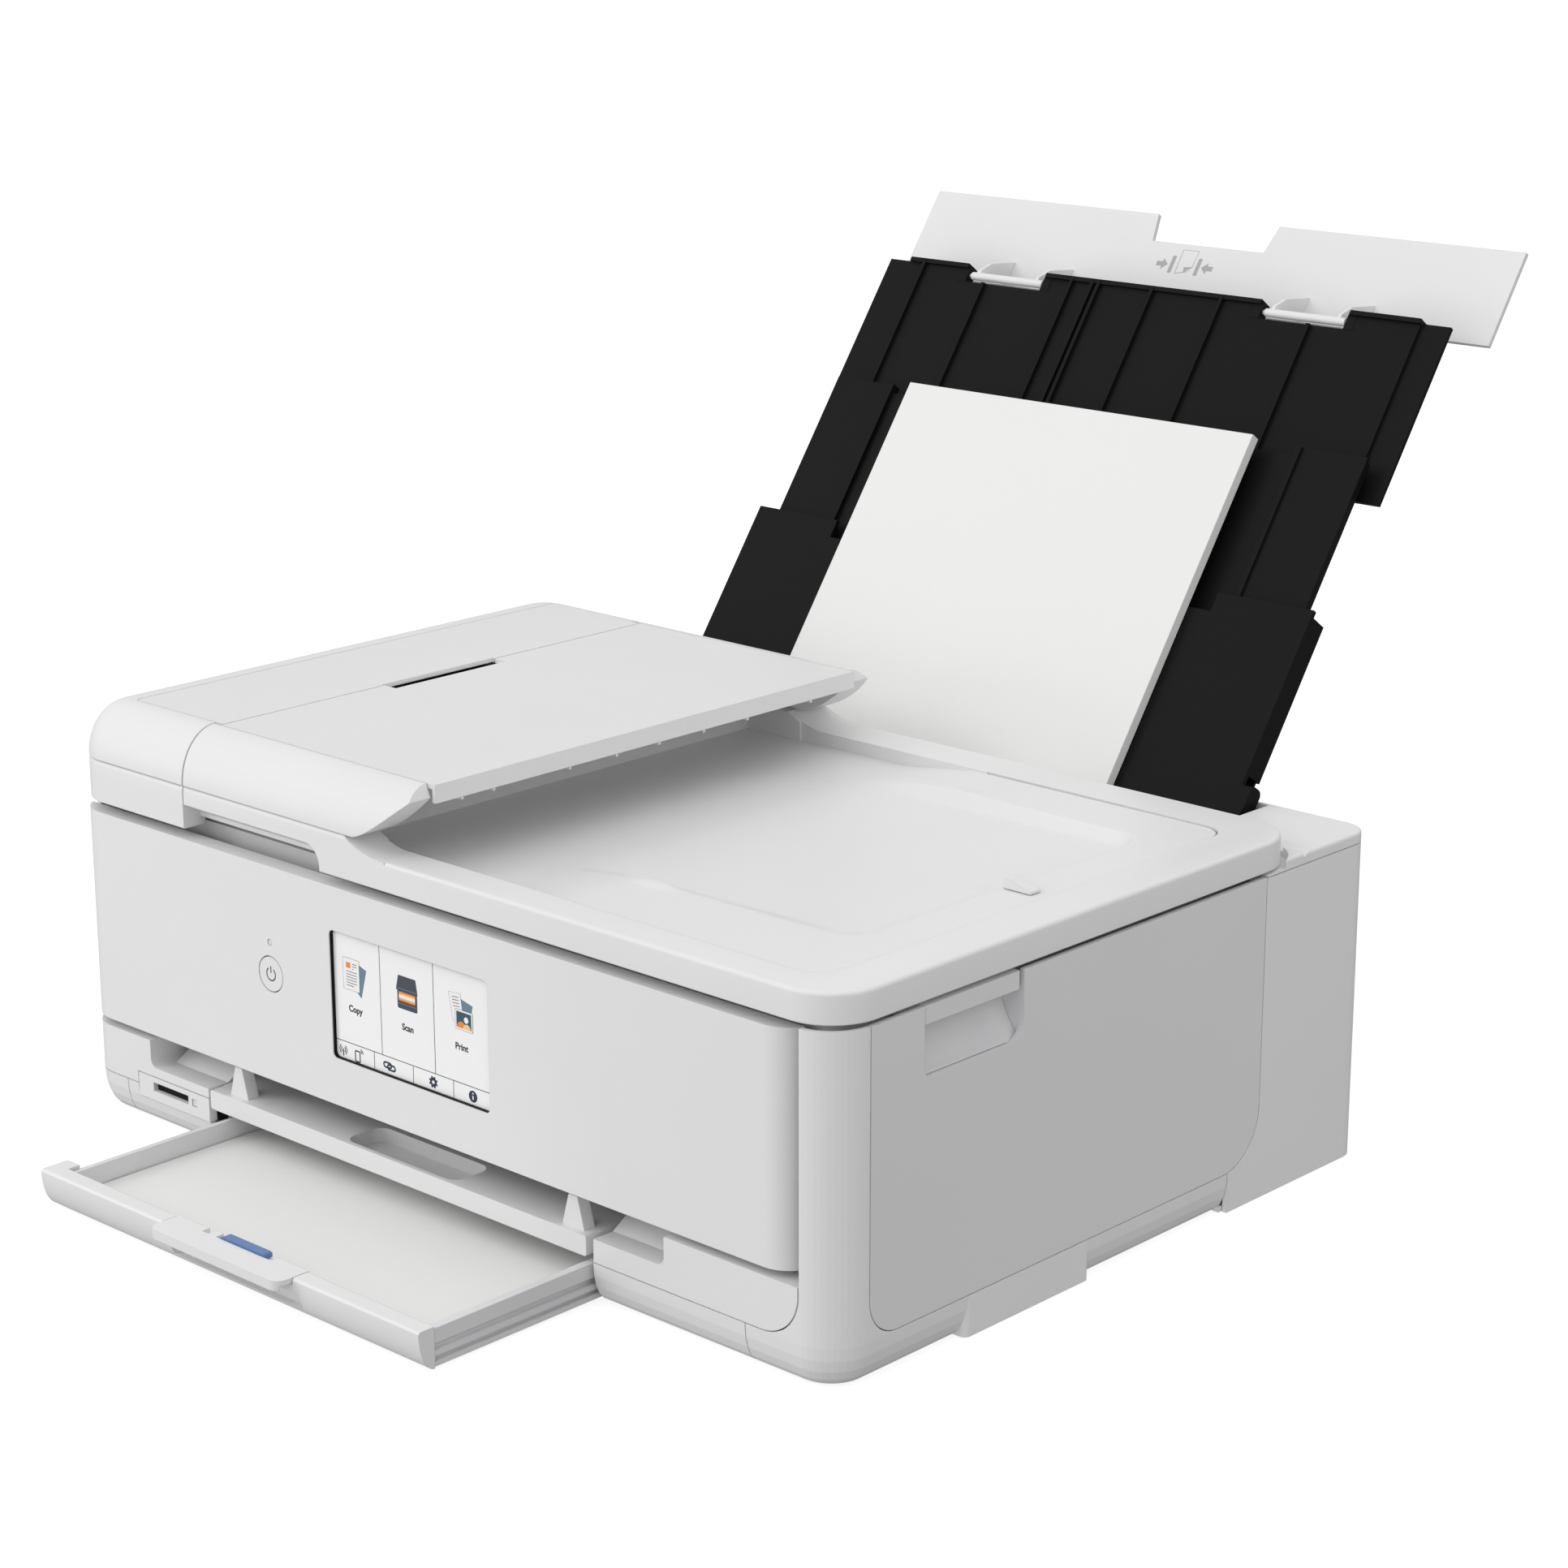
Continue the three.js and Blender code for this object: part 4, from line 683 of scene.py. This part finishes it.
def copy_icon(drawing):
    drawing.fill("blue_grey", [(-38.9, 111.2), (-34.2, 109.6), (-37.8, 96.6), (-41.4, 99.4)])
    drawing.fill("paper_white", rounded(-49.2, -38.8, 98.8, 112.9, (0.4,) * 4, 2), 2)
    drawing.line("line_grey", rounded(-49.2, -38.8, 98.8, 112.9, (0.4,) * 4, 2), 0.12, 3, closed=True)
    drawing.fill("orange", rounded(-47.2, -44.4, 108.5, 111, (0.2,) * 4, 2), 3)
    text_lines(drawing, -43.2, -40.4, 110.7, 3, 1.1, 3)
    text_lines(drawing, -47.2, -40.4, 107, 6, 1.25, 3)


def scan_icon(drawing):
    drawing.fill("slate", rounded(-14.6, -2.2, 98.4, 106.8, (0.8, 0.8, 0.2, 0.2), 3))
    drawing.fill("orange", [(-13.6, 101.8), (-3.4, 101.8), (-3.4, 105.8), (-13.6, 105.8)], 2)
    drawing.fill("pale_orange", [(-13.6, 102.6), (-3.4, 102.6), (-3.4, 105), (-13.6, 105)], 3)
    drawing.fill("paper_white", [(-13.6, 103.3), (-3.4, 103.3), (-3.4, 104.3), (-13.6, 104.3)], 4)
    drawing.line("blue_grey", [(-14.2, 100.6), (-2.8, 100.6)], 0.25, 2)
    drawing.fill("slate", [(-15.4, 106.4), (-1.8, 106.4), (-3, 113), (-13.8, 113)], 2)
    drawing.line("blue_grey", [(-15.2, 107.2), (-2, 107.2)], 0.25, 3)


def print_icon(drawing):
    drawing.fill("blue_grey", [(25, 111.6), (32.2, 110), (31, 104.6), (25, 104.6)])
    drawing.fill("paper_white", [(17.6, 113.2), (24.8, 113.8), (26.6, 101.4), (20, 101)], 2)
    drawing.line("line_grey", [(17.6, 113.2), (24.8, 113.8), (26.6, 101.4), (20, 101)], 0.12, 3, closed=True)
    for i in range(4):
        shift, drop = i * 0.2, i * 1.3
        drawing.line("line_grey", [(19.6 + shift, 111.6 - drop), (23.6 + shift, 111.9 - drop)], 0.32, 3)
    drawing.fill("paper_white", rounded(21.4, 32, 98.2, 106.8, (0.3,) * 4, 2), 4)
    drawing.line("line_grey", rounded(21.4, 32, 98.2, 106.8, (0.3,) * 4, 2), 0.12, 5, closed=True)
    drawing.fill("deep_blue", [(22.2, 99), (31.2, 99), (31.2, 106), (22.2, 106)], 5)
    drawing.fill("orange", arc(25.2, 99, 2.8, 0, 180, 8), 6)
    drawing.fill("pale_orange", arc(28.6, 99, 2.3, 0, 180, 8), 7)
    drawing.fill("paper_white", arc(28.2, 103, 1.4, 0, 360, 10)[:-1], 7)


def bottom_icons(drawing):
    """Row of small plain icons: signal, phone, link, gear wheel and information."""
    for radius in (1.3, 2.3):
        drawing.line("navy", arc(-51, 70.6, radius, -55, 55), 0.5)
        drawing.line("navy", arc(-51, 70.6, radius, 125, 235), 0.5)
    drawing.line("navy", [(-51, 67.8), (-51, 71)], 0.7)
    drawing.line("navy", rounded(-43.2, -40.2, 67.2, 72, (0.5,) * 4, 2), 0.65, closed=True)
    for radius in (0.9, 1.8):
        drawing.line("navy", arc(-40, 71.4, radius, 0, 80), 0.5)
    for shift in (-1.2, 1.2):
        ring = rounded(-23.6 + shift, -18.8 + shift, 69.2 - shift / 3, 71.4 - shift / 3, (1.1,) * 4, 4)
        drawing.line("navy", ring, 0.85, 1 if shift < 0 else 2, closed=True)
    teeth = []
    for i in range(16):
        radius = 2.7 if i % 2 else 2.1
        teeth += arc(6.5, 70.5, radius, i * 22.5 - 8, i * 22.5 + 8, 1)
    drawing.fill("navy", teeth)
    drawing.fill("paper_white", arc(6.5, 70.5, 0.8, 0, 360, 12)[:-1], 2)
    drawing.fill("navy", arc(31, 70.5, 2.6, 0, 360, 20)[:-1])
    drawing.line("paper_white", [(31, 69.1), (31, 70.8)], 0.7, 2)
    drawing.fill("paper_white", arc(31, 71.8, 0.42, 0, 360, 8)[:-1], 2)


LABEL_Z, LABEL_SIZE, LABEL_BOLD = 89.2, 4.0, 0.14


def screen_label(name, word, x, z):
    """A plain function name under an icon."""
    data = bpy.data.curves.new(name, "FONT")
    data.body = word
    data.size = LABEL_SIZE * MM
    data.align_x = "CENTER"
    data.extrude = LAYER * MM
    data.offset = LABEL_BOLD * MM
    data.materials.append(INKS["print_black"])
    label = bpy.data.objects.new(name, data)
    bpy.context.scene.collection.objects.link(label)
    label.location = on_screen(x, z, 0)
    label.rotation_euler = (math.pi / 2, 0, 0)
    belongs(label, "front_panel")


def make_screen():
    """Icons with their dividing lines, the words under them, and the dark line round the screen."""
    icons = Drawing(on_screen)
    low, bar_top, high, divider = 66.9, 74.6, 123.6, 0.4
    for x in (-25.5, 8.1):
        icons.line("line_grey", [(x, bar_top), (x, high)], divider)
    icons.line("line_grey", [(-55.1, bar_top), (42.9, bar_top)], divider)
    for x in (-30.8, -6, 19.1):
        icons.line("line_grey", [(x, low), (x, bar_top)], divider)
    copy_icon(icons)
    scan_icon(icons)
    print_icon(icons)
    bottom_icons(icons)
    icons.done("screen_icons", "front_panel")
    labels = (("label_copy", "Copy", -42), ("label_scan", "Scan", -8.6), ("label_print", "Print", 24.8))
    for name, word, x in labels:
        screen_label(name, word, x, LABEL_Z)
    gasket = bmesh.new()
    opening = rounded(-55.5, 43.3, 66.5, 124, (2.5,) * 4, 5)
    band(gasket, lambda u, v, y: machine(u, y, v), opening, 0.5, 0.5, 2.15, 0, closed=True)
    belongs(finished("screen_gasket", gasket, [MATERIALS["black_plastic"]]), "front_panel")


def make_power_symbol():
    """Broken ring and bar of the standard power symbol."""
    symbol = Drawing(lambda u, v, out: machine(u, 0.1 - out, v))
    x, z = -95.6, 94.4
    symbol.line("slate", arc(x, z, 2.9, 125, 415, 28), 0.65)
    symbol.line("slate", [(x, z + 0.6), (x, z + 3.6)], 0.65)
    symbol.done("power_symbol", "power_button")


def make_grip_scoop():
    """Hollow curve inside the right grip pocket, from its lower lip up to its back and rear end."""
    lip_x, back_x, front_y, rear_y, floor_z = 231.8, 220.2, 50.6, 109.4, 117.3
    height, end_lift, end_length = 17, 11, 12
    mesh = bmesh.new()
    steps, stations = 10, 14
    rings = []
    for i in range(stations + 1):
        y = front_y + (rear_y - front_y) * i / stations
        lift = end_lift * clamp((y - rear_y + end_length) / end_length) ** 2
        ring = [machine(back_x, y, floor_z)]
        for j in range(steps + 1):
            angle = math.pi / 2 * j / steps
            x = lip_x - (lip_x - back_x) * math.sin(angle)
            rise = height * (1 - math.cos(angle)) + lift * math.sin(angle)
            ring.append(machine(x, y, floor_z + 0.1 + min(rise, height)))
        rings.append(ring)
    loft(mesh, rings)
    scoop = finished("grip_scoop", mesh, [MATERIALS["shell_grey"]])
    smooth(scoop, 50)
    belongs(scoop, "base")


def make_cassette_handle():
    """Handle plate with rounded front corners, its front lip, and the slot and notch round the latch."""
    left, right, front, back = -58, 25.5, -99.7, -82.8
    plan = rounded(left, right, front, back, (5, 5, 0.4, 0.4), 8)
    handle = upright(16.3, 18.7, plan)
    lip = upright(14.4, 17.5, plan)
    carve(lip, block((left - 1, right + 1), (front - 1, front + 2.1), (10, 20)), "INTERSECT")
    carve(handle, lip, "UNION")
    latch_slot = block((-29, 6.6), (-86.8, back + 1), (17.2, 20))
    carve(handle, latch_slot)
    notch = block((-38, -34), (back - 4, back + 1), (10, 20))
    carve(handle, notch)
    moulded(handle, "cassette_handle_smooth", "cassette", ["cassette_handle"])


def make_card_reader():
    """Black reader seen in the slot of the left front cover."""
    mesh = bmesh.new()
    prism(mesh, lambda x, z, y: machine(x, y, z), rounded(-183.6, -159, 17.8, 21.4, (0.6,) * 4, 3), 2.2, 4)
    belongs(finished("card_reader", mesh, [MATERIALS["black_plastic"]]), "base")


def make_pictogram():
    """Pale moulded mark on the rear cover: a sheet with a turned corner between its two guides."""
    mark = Drawing(lambda u, v, out: on_support(u, 36 - out, v))
    for x, top in ((-13.5, 272.6), (2.4, 272.5)):
        mark.fill("print_grey", rounded(x - 1.1, x + 1.1, 262.9, top, (0.5,) * 4, 2))
    sheet = [(-9.8, 263), (-10, 276.3), (-0.3, 276.3), (-0.9, 267.4), (-3, 264.6), (-9.8, 263)]
    mark.line("print_grey", sheet, 0.4, closed=True)
    mark.fill("print_grey", [(-1.1, 267.4), (-5.7, 266.8), (-5, 263.8)])
    for tip, tail in ((-16, -23), (4.6, 11.6)):
        neck = (tip + tail) / 2
        mark.fill("print_grey", [(tip, 267.5), (neck, 270.6), (neck, 268.8), (tail, 268.8), (tail, 266.2),
                                 (neck, 266.2), (neck, 264.4)])
    mark.done("sheet_guide_mark", "rear_tray_cover")


dress_cad_nodes()
make_camera()
make_studio()
make_lid()
make_feeder_cover()
make_feeder_frame()
make_finger_slot()
make_cassette_handle()
make_card_reader()
make_grip_scoop()
make_screen()
make_power_symbol()
make_pictogram()
